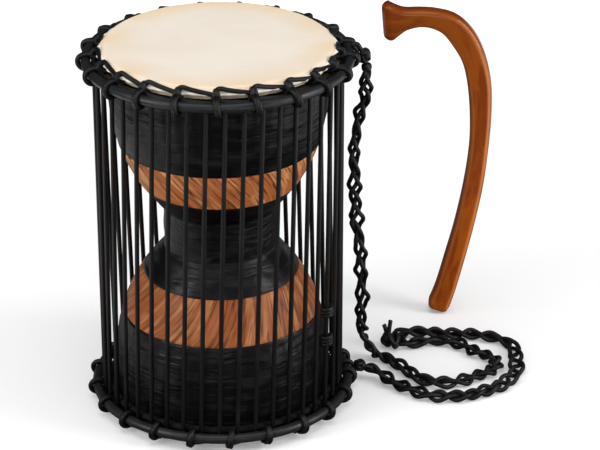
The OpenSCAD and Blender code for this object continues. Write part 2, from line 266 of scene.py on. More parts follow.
@dataclass(frozen=True)
class RopeFinish(Finish):
    """Soft braided polyester rope, dyed black.

    A real one shows a fine diamond plait, a soft lighter stripe where it faces the light, and
    almost black grooves between its picks. Here the grooves are painted darker than the picks, a
    painted shade. The picks are drawn as coarse as they need to show.
    """

    name: str = "black_braided_polyester"
    # colour of the grooves between the picks, a painted shade
    groove: str = "#030304"
    pick: str = "#0F0F11"
    wear_and_highlight: str = "#1D1D20"
    picks_round: float = 8.0
    cell_mm: float = 2.3

    def paint(self, tree: bpy.types.NodeTree, where: bpy.types.NodeSocket) -> dict[str, Any]:
        """Diamonds where two sets of slanting waves cross, with painted shade in the grooves
        between them, lighter in patches of wear.

        Args:
            tree: The material's node tree.
            where: Object coordinates.

        Returns:
            Inputs of the Principled shader.
        """
        side = add(tree, "ShaderNodeAttribute", out="Vector", attribute_name="rope_side")
        run = add(tree, "ShaderNodeAttribute", out="Fac", attribute_name="rope_run")
        x, y, _ = add(tree, Kind.PARTS, side)
        turn = add(tree, Kind.BEARING, y, x)
        round_ = add(tree, Kind.TIMES, turn, self.picks_round / FULL_TURN)
        along = add(tree, Kind.OVER, run, self.cell_mm * MM)
        waves = []
        for slant in (Kind.PLUS, Kind.MINUS):
            lead = add(tree, Kind.TIMES, add(tree, slant, round_, along), math.pi)
            waves.append(add(tree, Kind.UNSIGNED, add(tree, Kind.SINE, lead)))
        plait = add(tree, Kind.TIMES, *waves)
        fibre = lumps(tree, where, 0.5, detail=2.0)
        patches = lumps(tree, where, 26.0, detail=2.0)
        # the picks are lighter than the grooves, which carry painted shade
        layers = (
            (add(tree, Kind.EASE, plait, 0.0, 0.7, 0.0, 1.0), self.pick),
            (add(tree, Kind.EASE, patches, 0.5, 0.8, 0.0, 0.55), self.wear_and_highlight),
        )
        height = add(tree, Kind.PLUS, plait, add(tree, Kind.TIMES, fibre, 0.25))
        return {
            "Base Color": layered(tree, self.groove, layers),
            "Roughness": add(tree, Kind.EASE, fibre, 0.3, 0.7, 0.34, 0.48),
            "Specular IOR Level": 0.42,
            "Normal": add(tree, Kind.RELIEF, height, 0.2 * MM, 0.8),
        }


@dataclass(frozen=True)
class SkinFinish(Finish):
    """Dried goat skin, scraped and stretched over the shell's rim.

    It is cream with soft mottling and a creamier rim where it bends over the wood. Its collar is
    painted paler where it puffs out, a painted light, and darker in the valleys of its creases,
    a painted shade. The radii are millimetres from the drum's axis.
    """

    name: str = "goat_skin"
    face: str = "#F2E8DA"
    mottle: str = "#EBDECB"
    rim: str = "#F0D8B9"
    # paler colour of the collar where it puffs out, a painted light
    collar: str = "#FBF2E2"
    # darker colour of the crease valleys, a painted shade
    crease: str = "#DEC9A6"
    rim_from: float = 56.0
    rim_to: float = 86.0
    # radii over which the collar's painted light sets in
    collar_light_from: float = 88.6
    collar_light_to: float = 89.8

    def paint(self, tree: bpy.types.NodeTree, where: bpy.types.NodeSocket) -> dict[str, Any]:
        """Clouds and streaks on the face, a rim, painted light on the collar, and painted shade in
        the creases from an attribute.

        Args:
            tree: The material's node tree.
            where: Object coordinates.

        Returns:
            Inputs of the Principled shader.
        """
        x, y, _ = add(tree, Kind.PARTS, where)
        radius = add(tree, Kind.LENGTH, add(tree, Kind.VECTOR, x, y))
        clouds = lumps(tree, where, (60, 46, 40), warp=0.3)
        streaks = lumps(tree, where, (30, 9, 20), warp=0.2)
        pores = lumps(tree, where, 0.8, detail=2.0)
        patch = lumps(tree, where, (70, 50, 60), detail=2.0)
        folds = add(tree, "ShaderNodeAttribute", out="Fac", attribute_name="fold")
        near_rim = (self.rim_from * MM, self.rim_to * MM)
        collar_light_radii = (self.collar_light_from * MM, self.collar_light_to * MM)
        at_rim = add(
            tree,
            Kind.TIMES,
            add(tree, Kind.EASE, radius, *near_rim, 0.0, 0.95),
            add(tree, Kind.EASE, patch, 0.38, 0.6, 0.35, 1.0),
        )
        layers = (
            (add(tree, Kind.EASE, clouds, 0.35, 0.7, 0.0, 0.6), self.mottle),
            (add(tree, Kind.EASE, streaks, 0.52, 0.8, 0.0, 0.2), self.rim),
            (at_rim, self.rim),
            # painted light: the puffed-out collar is paler
            (add(tree, Kind.EASE, radius, *collar_light_radii, 0.0, 1.0), self.collar),
            # painted shade: the valleys of the creases are darker
            (add(tree, Kind.EASE, folds, 0.3, 0.0, 0.0, 0.32), self.crease),
        )
        height = add(tree, Kind.PLUS, pores, add(tree, Kind.TIMES, streaks, 1.4))
        return {
            "Base Color": layered(tree, self.face, layers),
            "Roughness": 0.55,
            "Specular IOR Level": 0.35,
            "Subsurface Weight": 0.06,
            "Subsurface Radius": (0.002, 0.0015, 0.001),
            "Normal": add(tree, Kind.RELIEF, height, 0.12 * MM, 0.6),
        }


@dataclass(frozen=True)
class RingFinish(Finish):
    """Steel rod under a satin charcoal coat, with fine rub marks along it."""

    name: str = "satin_coated_steel"
    coat: str = "#1E1F21"
    rubbed_and_highlight: str = "#38393C"

    def paint(self, tree: bpy.types.NodeTree, where: bpy.types.NodeSocket) -> dict[str, Any]:
        """Fine marks that come and go in worn patches.

        Args:
            tree: The material's node tree.
            where: Object coordinates.

        Returns:
            Inputs of the Principled shader.
        """
        marks = lumps(tree, where, (14, 14, 0.9), detail=4.0)
        wear = lumps(tree, where, 22.0)
        share = add(
            tree,
            Kind.TIMES,
            add(tree, Kind.EASE, marks, 0.45, 0.75, 0.0, 1.0),
            add(tree, Kind.EASE, wear, 0.4, 0.7, 0.15, 0.8),
        )
        return {
            "Base Color": layered(tree, self.coat, [(share, self.rubbed_and_highlight)]),
            "Metallic": 0.15,
            "Roughness": add(tree, Kind.EASE, marks, 0.3, 0.7, 0.34, 0.48),
            "Normal": add(tree, Kind.RELIEF, marks, 0.06 * MM, 0.5),
        }


@dataclass(frozen=True)
class BlackStainFinish(Finish):
    """Carved wood under black stain, its tool-mark crests painted lighter as a painted highlight.
    """

    name: str = "black_stained_wood"
    stain: str = "#060607"
    # colour of the painted highlight on the crests of the tool marks
    ridge: str = "#1C1E21"

    def paint(self, tree: bpy.types.NodeTree, where: bpy.types.NodeSocket) -> dict[str, Any]:
        """Ridges from an attribute carry a painted highlight, with short cuts round the drum and
        upright grain.

        Args:
            tree: The material's node tree.
            where: Object coordinates.

        Returns:
            Inputs of the Principled shader.
        """
        ridge = add(tree, "ShaderNodeAttribute", out="Fac", attribute_name="ridge")
        grain = lumps(tree, where, (1.6, 1.6, 30), detail=4.0, warp=0.3)
        cuts = lumps(tree, where, (23, 23, 4.2), detail=1.0, warp=0.5)
        # painted highlight on the crests of the tool marks, broken up by the cuts
        lift = add(
            tree,
            Kind.TIMES,
            add(tree, Kind.EASE, ridge, 0.5, 0.85, 0.0, 1.0),
            add(tree, Kind.EASE, cuts, 0.35, 0.65, 0.3, 1.0),
        )
        height = add(tree, Kind.TIMES_PLUS, grain, 0.35, add(tree, Kind.TIMES, cuts, 2.6))
        return {
            "Base Color": layered(tree, self.stain, [(lift, self.ridge)]),
            "Roughness": add(tree, Kind.EASE, grain, 0.3, 0.7, 0.32, 0.44),
            "Specular IOR Level": 0.35,
            "Normal": add(tree, Kind.RELIEF, height, 0.36 * MM, 0.9),
        }


@dataclass(frozen=True)
class BareWoodFinish(Finish):
    """Bare hardwood of the two bands, cut through the stain.

    Its growth rings are cut aslant, so dark and light streaks run diagonally and change their
    lean round the drum. Heights and the radius are millimetres, and a lean is in radians of turn
    round the drum for each metre of height.
    """

    name: str = "bare_carved_hardwood"
    base: str = "#B05D25"
    light: str = "#D8935A"
    dark: str = "#552709"
    low_mid: float = 94.0
    high_mid: float = 204.0
    radius: float = 68.0
    low_lean: float = 6.5
    low_swing: float = -95.0
    high_lean: float = -10.5
    low_tone: Colour = (0.86, 0.84, 0.84, 1.0)
    high_tone: Colour = (1.2, 1.3, 1.45, 1.0)

    def slanted(
        self, tree: bpy.types.NodeTree, x: Any, y: Any, height: Any, high: Any
    ) -> bpy.types.NodeSocket:
        """Coordinates wound round the drum, so that streaks along their height lean.

        Args:
            tree: The material's node tree.
            x: Place across the drum.
            y: Place from front to back.
            height: Height in metres.
            high: Share of the upper band, 0 or 1.

        Returns:
            The wound coordinates.
        """
        low_lean = add(tree, Kind.TIMES_PLUS, x, self.low_swing, self.low_lean)
        turns = []
        for mid, lean in ((self.low_mid, low_lean), (self.high_mid, self.high_lean)):
            above = add(tree, Kind.MINUS, height, mid * MM)
            turns.append(add(tree, Kind.TIMES, above, lean))
        turn = add(tree, Kind.BETWEEN, high, *turns)
        unit = add(tree, Kind.UNIT, add(tree, Kind.VECTOR, x, y))
        rim = add(tree, Kind.VECTOR_TIMES, unit, self.radius * MM)
        wound = {"Vector": rim, "Angle": add(tree, Kind.TIMES, turn, -1.0)}
        twisted = add(tree, "ShaderNodeVectorRotate", wound, rotation_type="Z_AXIS")
        return add(tree, Kind.VECTOR_PLUS, twisted, add(tree, Kind.VECTOR, {2: height}))

    def paint(self, tree: bpy.types.NodeTree, where: bpy.types.NodeSocket) -> dict[str, Any]:
        """Broad light streaks, bold dark ones and fine pores, toned by band.

        Args:
            tree: The material's node tree.
            where: Object coordinates.

        Returns:
            Inputs of the Principled shader.
        """
        x, y, height = add(tree, Kind.PARTS, where)
        high = add(tree, Kind.EASE, height, 0.13, 0.17, 0.0, 1.0)
        lean = self.slanted(tree, x, y, height, high)
        broad = lumps(tree, lean, (6.5, 6.5, 46), warp=0.7)
        streak = lumps(tree, lean, (2.5, 2.5, 26), warp=0.6)
        fine = lumps(tree, lean, (0.7, 0.7, 14))
        bold = add(
            tree,
            Kind.TIMES,
            add(tree, Kind.EASE, streak, 0.48, 0.64, 0.0, 0.95),
            add(tree, Kind.EASE, high, 0.0, 1.0, 0.8, 1.0),
        )
        layers = (
            (add(tree, Kind.EASE, broad, 0.42, 0.66, 0.0, 0.85), self.light),
            (bold, self.dark),
            (add(tree, Kind.EASE, fine, 0.52, 0.75, 0.0, 0.4), self.dark),
        )
        tone = add(tree, Kind.MIX, high, self.low_tone, self.high_tone)
        height_marks = add(tree, Kind.PLUS, streak, fine)
        return {
            "Base Color": add(tree, Kind.TINT, 1.0, layered(tree, self.base, layers), tone),
            "Roughness": 0.5,
            "Specular IOR Level": 0.4,
            "Normal": add(tree, Kind.RELIEF, height_marks, 0.18 * MM, 0.8),
        }


@dataclass(frozen=True)
class BeaterFinish(Finish):
    """Varnished red-brown hardwood with long grain and a soft shine from its coat; its rounded
    corners carry a painted highlight and its flanks painted shade.
    """

    name: str = "varnished_hardwood"
    base: str = "#803A0D"
    light: str = "#A05412"
    # dark grain lines, and also the colour of the painted shade on the flanks
    dark: str = "#451D07"
    # colour of the painted highlight on the rounded corners
    wear_and_highlight: str = "#CE8148"
    foot_tone: Colour = (1.14, 1.06, 0.98, 1.0)
    hook_tone: Colour = (0.74, 0.67, 0.62, 1.0)

    def paint(self, tree: bpy.types.NodeTree, where: bpy.types.NodeSocket) -> dict[str, Any]:
        """Grain along the stick, a darker hook, painted shade on the flanks and a painted highlight
        on the rounded corners.

        Args:
            tree: The material's node tree.
            where: Object coordinates; not used.

        Returns:
            Inputs of the Principled shader.
        """
        along = add(tree, "ShaderNodeAttribute", out="Vector", attribute_name="grain")
        edge = add(tree, "ShaderNodeAttribute", out="Fac", attribute_name="edge")
        broad = lumps(tree, along, (44, 11, 11), warp=0.8)
        line = lumps(tree, along, (24, 1.1, 1.4), detail=4.0, warp=0.5)
        layers = (
            (add(tree, Kind.EASE, broad, 0.4, 0.62, 0.0, 0.75), self.light),
            (add(tree, Kind.EASE, line, 0.55, 0.8, 0.0, 0.28), self.dark),
        )
        run, _, _ = add(tree, Kind.PARTS, along)
        hooked = add(tree, Kind.EASE, run, 0.1, 0.3, 0.0, 1.0)
        tone = add(tree, Kind.MIX, hooked, self.foot_tone, self.hook_tone)
        colour = add(tree, Kind.TINT, 1.0, layered(tree, self.base, layers), tone)
        # painted shade: the flanks turn towards the dark colour
        flank = add(tree, Kind.EASE, edge, 0.0, 1.0, 0.0, 0.8)
        colour = add(tree, Kind.MIX, flank, colour, linear(self.dark))
        # painted highlight: the rounded corners turn lighter, most on the stem near the foot
        rubbed_and_highlight = add(
            tree,
            Kind.TIMES,
            add(tree, Kind.EASE, edge, 0.0, -0.8, 0.0, 0.62),
            add(tree, Kind.EASE, run, 0.2, 0.3, 1.0, 0.1),
        )
        return {
            "Base Color": add(tree, Kind.MIX, rubbed_and_highlight, colour, linear(self.wear_and_highlight)),
            "Roughness": 0.45,
            "Specular IOR Level": 0.02,
            "Coat Weight": 0.5,
            "Coat Roughness": 0.1,
            "Normal": add(tree, Kind.RELIEF, line, 0.06 * MM, 0.5),
        }


@dataclass(frozen=True)
class CaneFinish(Finish):
    """Split cane of the flesh hoops, dark brown from use, with long fibres."""

    name: str = "split_cane"
    base: str = "#5E3E22"
    fibre: str = "#2A1A0E"

    def paint(self, tree: bpy.types.NodeTree, where: bpy.types.NodeSocket) -> dict[str, Any]:
        """Dark fibres round the hoop.

        Args:
            tree: The material's node tree.
            where: Object coordinates.

        Returns:
            Inputs of the Principled shader.
        """
        fibres = lumps(tree, where, (20, 20, 0.5))
        return {
            "Base Color": layered(tree, self.base, [(fibres, self.fibre)]),
            "Roughness": 0.6,
            "Normal": add(tree, Kind.RELIEF, fibres, 0.1 * MM, 0.6),
        }


@dataclass(frozen=True)
class BindingFinish(Finish):
    """Black cotton tape bound over the lapped edge of each skin, dull, with a plain weave."""

    name: str = "black_cotton_tape"
    tape: str = "#111112"
    thread: str = "#1E1E20"

    def paint(self, tree: bpy.types.NodeTree, where: bpy.types.NodeSocket) -> dict[str, Any]:
        """Threads and soft folds.

        Args:
            tree: The material's node tree.
            where: Object coordinates.

        Returns:
            Inputs of the Principled shader.
        """
        threads = lumps(tree, where, 0.9, detail=2.0)
        folds = lumps(tree, where, (5, 5, 2))
        height = add(tree, Kind.PLUS, threads, folds)
        return {
            "Base Color": layered(tree, self.tape, [(threads, self.thread)]),
            "Roughness": 0.85,
            "Specular IOR Level": 0.2,
            "Normal": add(tree, Kind.RELIEF, height, 0.2 * MM, 0.8),
        }


@dataclass
class Finishes:
    """Every material of the model, made once."""

    rope: bpy.types.Material = field(default_factory=RopeFinish().make)
    skin: bpy.types.Material = field(default_factory=SkinFinish().make)
    ring: bpy.types.Material = field(default_factory=RingFinish().make)
    stain: bpy.types.Material = field(default_factory=BlackStainFinish().make)
    bare: bpy.types.Material = field(default_factory=BareWoodFinish().make)
    beater: bpy.types.Material = field(default_factory=BeaterFinish().make)
    cane: bpy.types.Material = field(default_factory=CaneFinish().make)
    binding: bpy.types.Material = field(default_factory=BindingFinish().make)


# ---------------------------------------------------------------- shared sizes
@dataclass(frozen=True)
class DrumSize:
    """The construction's own sizes, in millimetres and degrees."""

    height: float = 298.0
    rim_r: float = 86.0
    waist_r: float = 44.5
    waist_half: float = 17.0
    wall: float = 8.0
    band_near: float = 38.5
    band_w: float = 33.0
    groove: float = 0.8
    collar_in: float = 86.2
    skin_t: float = 0.9
    hoop_h: float = 12.5
    hoop_r: float = 89.05
    lap_r: float = 1.95
    ring_r: float = 100.0
    ring_h: float = 11.0
    rope_d: float = 3.6
    turn_r: float = 5.675
    hitches: int = 21
    first_hitch: float = 0.7
    low_hitch: float = 4.2714
    cord_r: float = 94.05
    cord_top: float = 288.3
    cord_bottom: float = 12.5
    lean: float = -5.0

    @property
    def pitch(self) -> float:
        """Degrees from hitch to hitch."""
        return 360.0 / self.hitches

    @property
    def mid(self) -> float:
        """Height of the middle of the drum."""
        return self.height / 2

    def bowl_r(self, t: float) -> float:
        """Outer radius of the shell at a distance from its middle.

        Args:
            t: Distance up or down from the middle.

        Returns:
            The radius.
        """
        reach = self.mid - self.skin_t - 0.1 - self.waist_half
        s = min(1.0, max(0.0, (t - self.waist_half) / reach))
        return self.waist_r + (self.rim_r - self.waist_r) * (1 - (1 - s) ** 3)

    def cord_at(self, i: int, z: float) -> np.ndarray:
        """Point on a tension cord's centreline.

        Args:
            i: Number of the cord, round from the front.
            z: Height.

        Returns:
            The point.
        """
        a1 = math.radians(self.first_hitch + (i + 0.5) * self.pitch / 2)
        a0 = a1 + math.radians(self.lean)
        p0 = np.array([math.sin(a0), -math.cos(a0)]) * self.cord_r
        p1 = np.array([math.sin(a1), -math.cos(a1)]) * self.cord_r
        k = (z - self.cord_bottom) / (self.cord_top - self.cord_bottom)
        p = p0 + (p1 - p0) * k
        return np.array([p[0], p[1], z])


# ---------------------------------------------------------------- lines and shares
def eased(share: np.ndarray) -> np.ndarray:
    """A share from 0 to 1, made smooth at both ends."""
    return share * share * (3 - 2 * share)


def ramp(value: np.ndarray | float, zero_at: float, length: float) -> np.ndarray:
    """Share from 0 to 1 over a length, which is negative for one that rises downwards."""
    return np.clip((value - zero_at) / length, 0, 1)


def run_along(line: np.ndarray) -> np.ndarray:
    """Distance of each point of a line from its first."""
    return np.concatenate([[0], np.cumsum(np.linalg.norm(np.diff(line, axis=0), axis=1))])


def ahead_of(line: np.ndarray) -> np.ndarray:
    """Unit direction of a line at each of its points."""
    steps = np.gradient(line, axis=0)
    return steps / np.linalg.norm(steps, axis=1)[:, None]


def arc(centre: Point, r: float, start: float, end: float, steps: int) -> list[Point]:
    """Points of an arc in a plane.

    Args:
        centre: Its centre.
        r: Its radius.
        start: Degrees at its start.
        end: Degrees at its end.
        steps: How many steps it has.

    Returns:
        One point more than it has steps.
    """
    turns = [math.radians(a) for a in np.linspace(start, end, steps + 1)]
    return [(centre[0] + r * math.cos(a), centre[1] + r * math.sin(a)) for a in turns]


def spline(points: Sequence[Point], per: int, closed: bool = False) -> np.ndarray:
    """Points of a smooth curve that passes through the given ones.

    Args:
        points: Points that it passes through.
        per: Points from each given one to the next.
        closed: Whether it comes back to its start.

    Returns:
        The points, with the last one the end, or the start again where it is closed.
    """
    p = np.asarray(points, float)
    n = len(p)
    rows = []
    for i in range(n if closed else n - 1):
        near = [(i + k) % n if closed else min(max(i + k, 0), n - 1) for k in (-1, 0, 1, 2)]
        a, b, c, d = p[near]
        for t in np.linspace(0, 1, per, endpoint=False):
            bend = (2 * a - 5 * b + 4 * c - d) * t * t + (3 * b - a - 3 * c + d) * t**3
            rows.append(0.5 * (2 * b + (c - a) * t + bend))
    rows.append(p[0] if closed else p[-1])
    return np.array(rows)


def smooth_line(points: Sequence[Point], step: float, closed: bool = False) -> np.ndarray:
    """Points of a smooth line a fixed step apart.

    Args:
        points: Points that it passes through.
        step: About how far its points lie from each other.
        closed: Whether it comes back to its start.

    Returns:
        The points; a closed line's start isn't repeated.
    """
    line = spline(points, 24, closed)
    run = run_along(line)
    stops = max(6, int(round(run[-1] / step)))
    at = np.linspace(0, run[-1], stops + 1)
    out = np.stack([np.interp(at, run, line[:, k]) for k in range(3)], axis=1)
    return out[:-1] if closed else out


# ---------------------------------------------------------------- mesh helpers
def link(name: str, mesh: bpy.types.Mesh) -> bpy.types.Object:
    """An object at the origin for a mesh, linked to the scene.

    Args:
        name: Name of the piece.
        mesh: Its mesh.

    Returns:
        The object.
    """
    piece = bpy.data.objects.new(name, mesh)
    bpy.context.scene.collection.objects.link(piece)
    return piece


def make_object(
    name: str,
    verts: np.ndarray,
    faces: Sequence[Sequence[int]],
    *materials: bpy.types.Material,
    smooth: bool = True,
) -> bpy.types.Object:
    """A mesh object at the origin from points in millimetres.

    Args:
        name: Name of the piece.
        verts: Points in the row frame, in millimetres.
        faces: Faces as tuples of indices.
        *materials: Its materials.
        smooth: Whether its faces are shaded smooth.

    Returns:
        The new object, linked to the scene.
    """
    mesh = bpy.data.meshes.new(name)
    mesh.from_pydata((np.asarray(verts, float) * MM).tolist(), [], faces)
    if smooth:
        mesh.shade_smooth()
    for material in materials:
        mesh.materials.append(material)
    return link(name, mesh)


def tube_faces(rows: int, around: int, closed: bool = False) -> list[tuple[int, ...]]:
    """Faces of a tube of rings.

    Args:
        rows: How many rings it has.
        around: Points of each ring.
        closed: Whether its last ring joins its first; otherwise both ends get a cap.

    Returns:
        Its faces, ring by ring, with any caps last.
    """
    faces: list[tuple[int, ...]] = []
    for k in range(rows if closed else rows - 1):
        a, b = k * around, (k + 1) % rows * around
        for i in range(around):
            j = (i + 1) % around
            faces.append((a + i, a + j, b + j, b + i))
    if not closed:
        faces += [tuple(range(around)), tuple((rows - 1) * around + i for i in range(around))]
    return faces


def turned(r: np.ndarray, az: np.ndarray, z: np.ndarray) -> np.ndarray:
    """Points round the drum's axis, as one list.

    Args:
        r: Radii, ring by ring.
        az: Radians round from the front.
        z: Heights.

    Returns:
        Points of three coordinates.
    """
    return np.stack([r * np.sin(az), -r * np.cos(az), z], axis=2).reshape(-1, 3)


def mend(piece: bpy.types.Object, merge_m: float = 0.0) -> None:
    """Turns all faces of a closed piece outwards, or merges its doubles.

    Args:
        piece: The piece.
        merge_m: Points that lie this close are merged instead.
    """
    bm = bmesh.new()
    bm.from_mesh(piece.data)
    if merge_m:
        bmesh.ops.remove_doubles(bm, verts=bm.verts, dist=merge_m)
    else:
        bmesh.ops.recalc_face_normals(bm, faces=bm.faces)
    bm.to_mesh(piece.data)
    bm.free()


def store(piece: bpy.types.Object, name: str, data: np.ndarray) -> None:
    """Gives each point of a piece a number or a vector that nodes can read.

    Args:
        piece: The piece.
        name: Name of the attribute.
        data: A number, or three for a vector, for each point.
    """
    vector = data.ndim == 2 and data.shape[1] == 3
    kind, key = ("FLOAT_VECTOR", "vector") if vector else ("FLOAT", "value")
    attribute = piece.data.attributes.new(name, kind, "POINT")
    attribute.data.foreach_set(key, np.ascontiguousarray(data, np.float32).ravel())


def line_object(name: str, lines: Sequence[Line]) -> bpy.types.Object:
    """A mesh of edges that follows the given lines; it carries a node group.

    Args:
        name: Name of the piece.
        lines: Lines in millimetres, each with whether it is closed.

    Returns:
        The new object.
    """
    verts: list = []
    edges: list = []
    for line, closed in lines:
        first = len(verts)
        verts.extend(line.tolist())
        edges.extend((first + i, first + i + 1) for i in range(len(line) - 1))
        if closed:
            edges.append((len(verts) - 1, first))
    mesh = bpy.data.meshes.new(name)
    mesh.from_pydata((np.array(verts) * MM).tolist(), edges, [])
    return link(name, mesh)


# ---------------------------------------------------------------- node groups
def open_group(
    name: str, sockets: Iterable[tuple[str, str, Any]]
) -> tuple[bpy.types.NodeTree, Any]:
    """A geometry node group with a rope's inputs and some of its own.

    Args:
        name: Name of the group.
        sockets: Name, socket type and default of each input of its own.

    Returns:
        The tree, and its inputs as sockets by name.
    """
    tree = bpy.data.node_groups.new(name, "GeometryNodeTree")
    shared = (
        ("Geometry", "Geometry", None),
        ("Rope radius", "Float", 1.8 * MM),
        ("Sides", "Int", 14),
        ("Material", "Material", None),
    )
    for label, kind, value in (*shared, *sockets):
        socket = tree.interface.new_socket(
            label, in_out="INPUT", socket_type=f"NodeSocket{kind}"
        )
        if value is not None:
            socket.default_value = value
    tree.interface.new_socket("Geometry", in_out="OUTPUT", socket_type="NodeSocketGeometry")
    return tree, tree.nodes.new("NodeGroupInput").outputs


def copied(
    tree: bpy.types.NodeTree, what: Any, amount: Any, domain: str
) -> tuple[bpy.types.NodeSocket, bpy.types.NodeSocket]:
    """Adds copies of an instance or a spline.

    Args:
        tree: The node tree.
        what: The geometry to copy.
        amount: How many there are.
        domain: What is copied.

    Returns:
        The copies and the number of each.
    """
    copies = {"Geometry": what, "Amount": amount}
    many = add(tree, "GeometryNodeDuplicateElements", copies, domain=domain)
    return many, many.node.outputs["Duplicate Index"]


def end_as_rope(tree: bpy.types.NodeTree, given: Any, curve: bpy.types.NodeSocket) -> None:
    """Gives a curve the round body of a rope, and ends the group.

    The body keeps its side direction and its distance along the rope for the finish.

    Args:
        tree: The node tree.
        given: The group's inputs.
        curve: The rope's centreline.
    """
    sizes = {"Resolution": given["Sides"], "Radius": given["Rope radius"]}
    profile = add(tree, "GeometryNodeCurvePrimitiveCircle", sizes)
    unit = add(tree, Kind.UNIT, add(tree, "GeometryNodeInputPosition"))
    side = add(tree, Kind.KEEP, profile, "rope_side", unit, data_type="FLOAT_VECTOR")
    length = add(tree, "GeometryNodeSplineParameter", out="Length")
    run = add(tree, Kind.KEEP, curve, "rope_run", length, data_type="FLOAT")
    parts = {"Curve": run, "Profile Curve": side, "Fill Caps": True}
    body = add(tree, "GeometryNodeCurveToMesh", parts)
    smooth = add(tree, "GeometryNodeSetShadeSmooth", {"Geometry": body})
    real = add(tree, "GeometryNodeRealizeInstances", {"Geometry": smooth})
    dress = {"Geometry": real, "Material": given["Material"]}
    add(tree, "NodeGroupOutput", {0: add(tree, "GeometryNodeSetMaterial", dress)})


def ring_of_rope_group() -> bpy.types.NodeTree:
    """Rope pieces copied round the drum's axis by a count, a step and a seeded wobble.

    Returns:
        The node group.
    """
    tree, given = open_group(
        "Rope pieces round the drum",
        (
            ("Copies", "Int", 1),
            ("First turn", "Float", 0.0),
            ("Step", "Float", 0.0),
            ("Wobble", "Float", 0.0),
            ("Seed", "Int", SEED),
            ("Sink at the back", "Float", 0.0),
            ("Sink from height", "Float", -1.0),
        ),
    )
    lines = add(tree, "GeometryNodeMeshToCurve", {"Mesh": given["Geometry"]})
    one = add(tree, "GeometryNodeGeometryToInstance", {0: lines})
    many, index = copied(tree, one, given["Copies"], "INSTANCE")
    draw = {2: -1.0, 3: 1.0, "ID": index, "Seed": given["Seed"]}
    chance = add(tree, "FunctionNodeRandomValue", draw, out=1, data_type="FLOAT")
    steps = add(tree, Kind.TIMES, index, given["Step"])
    turn = add(tree, Kind.PLUS, given["First turn"], steps)
    turn = add(tree, Kind.PLUS, turn, add(tree, Kind.TIMES, chance, given["Wobble"]))
    spin = {"Rotation": add(tree, Kind.VECTOR, {2: turn}), "Local Space": False}
    placed = add(tree, "GeometryNodeRotateInstances", {"Instances": many, **spin})
    real = add(tree, "GeometryNodeRealizeInstances", {"Geometry": placed})
    _, y, z = add(tree, Kind.PARTS, add(tree, "GeometryNodeInputPosition"))
    to_back = add(tree, Kind.TIMES_PLUS, add(tree, Kind.OVER, y, 94 * MM), 0.5, 0.5)
    above = add(tree, Kind.MINUS, z, given["Sink from height"])
    part = add(tree, "ShaderNodeClamp", {0: add(tree, Kind.OVER, above, 5 * MM)})
    fall = add(tree, Kind.TIMES, to_back, given["Sink at the back"])
    fall = add(tree, Kind.TIMES, add(tree, Kind.TIMES, fall, part), -1.0)
    end_as_rope(tree, given, add(tree, Kind.MOVE, real, add(tree, Kind.VECTOR, {2: fall})))
    return tree


def plait_group() -> bpy.types.NodeTree:
    """Three ropes plaited about a line that carries its own side and flat directions.

    Returns:
        The node group.
    """
    tree, given = open_group(
        "Three-strand plait along a line",
        (
            ("Strands", "Int", 3),
            ("Half width", "Float", 4.6 * MM),
            ("Half depth", "Float", 1.9 * MM),
            ("Unevenness", "Float", 0.42),
        ),
    )
    lines = add(tree, "GeometryNodeMeshToCurve", {"Mesh": given["Geometry"]})
    many, index = copied(tree, lines, given["Strands"], "SPLINE")
    phase, loose = (add(tree, Kind.CARRIED, name, data_type="FLOAT") for name in ("phase", "loose"))
    share = add(tree, Kind.OVER, index, given["Strands"])
    phase = add(tree, Kind.PLUS, phase, add(tree, Kind.TIMES, share, FULL_TURN))
    stray, quick = (
        add(
            tree,
            Kind.SINE,
            add(tree, Kind.TIMES_PLUS, phase, pace, add(tree, Kind.TIMES, share, lead)),
        )
        for pace, lead in ((0.43, 15.0), (1.37, 26.0))
    )
    uneven = add(tree, Kind.TIMES_PLUS, stray, 0.6, add(tree, Kind.TIMES, quick, 0.4))
    uneven = add(tree, Kind.TIMES, uneven, given["Unevenness"])
    across = add(tree, Kind.PLUS, add(tree, Kind.SINE, phase), uneven)
    across = add(tree, Kind.TIMES, across, loose)
    depth = add(tree, Kind.SINE, add(tree, Kind.TIMES, phase, 2.0))
    offsets = []
    for amount, width, name in ((across, "Half width", "side"), (depth, "Half depth", "flat")):
        way = add(tree, Kind.CARRIED, name, data_type="FLOAT_VECTOR")
        reach = add(tree, Kind.TIMES, amount, given[width])
        offsets.append(add(tree, Kind.VECTOR_TIMES, way, reach))
    end_as_rope(tree, given, add(tree, Kind.MOVE, many, add(tree, Kind.VECTOR_PLUS, *offsets)))
    return tree


def baked(
    host: bpy.types.Object, tree: bpy.types.NodeTree, values: dict[str, Any]
) -> bpy.types.Object:
    """Runs a node group on a host and keeps its result as a plain mesh.

    Args:
        host: The object that carries the line.
        tree: The node group.
        values: Input name to value.

    Returns:
        The host, now with the plain mesh and no modifier.
    """
    modifier = host.modifiers.new("make", "NODES")
    modifier.node_group = tree
    for item in tree.interface.items_tree:
        if item.item_type == "SOCKET" and item.in_out == "INPUT" and item.name in values:
            modifier[item.identifier] = values[item.name]
    graph = bpy.context.evaluated_depsgraph_get()
    graph.update()
    mesh = bpy.data.meshes.new_from_object(
        host.evaluated_get(graph), preserve_all_data_layers=True, depsgraph=graph
    )
    mesh.name = host.name
    host.modifiers.remove(modifier)
    host.data = mesh
    return host


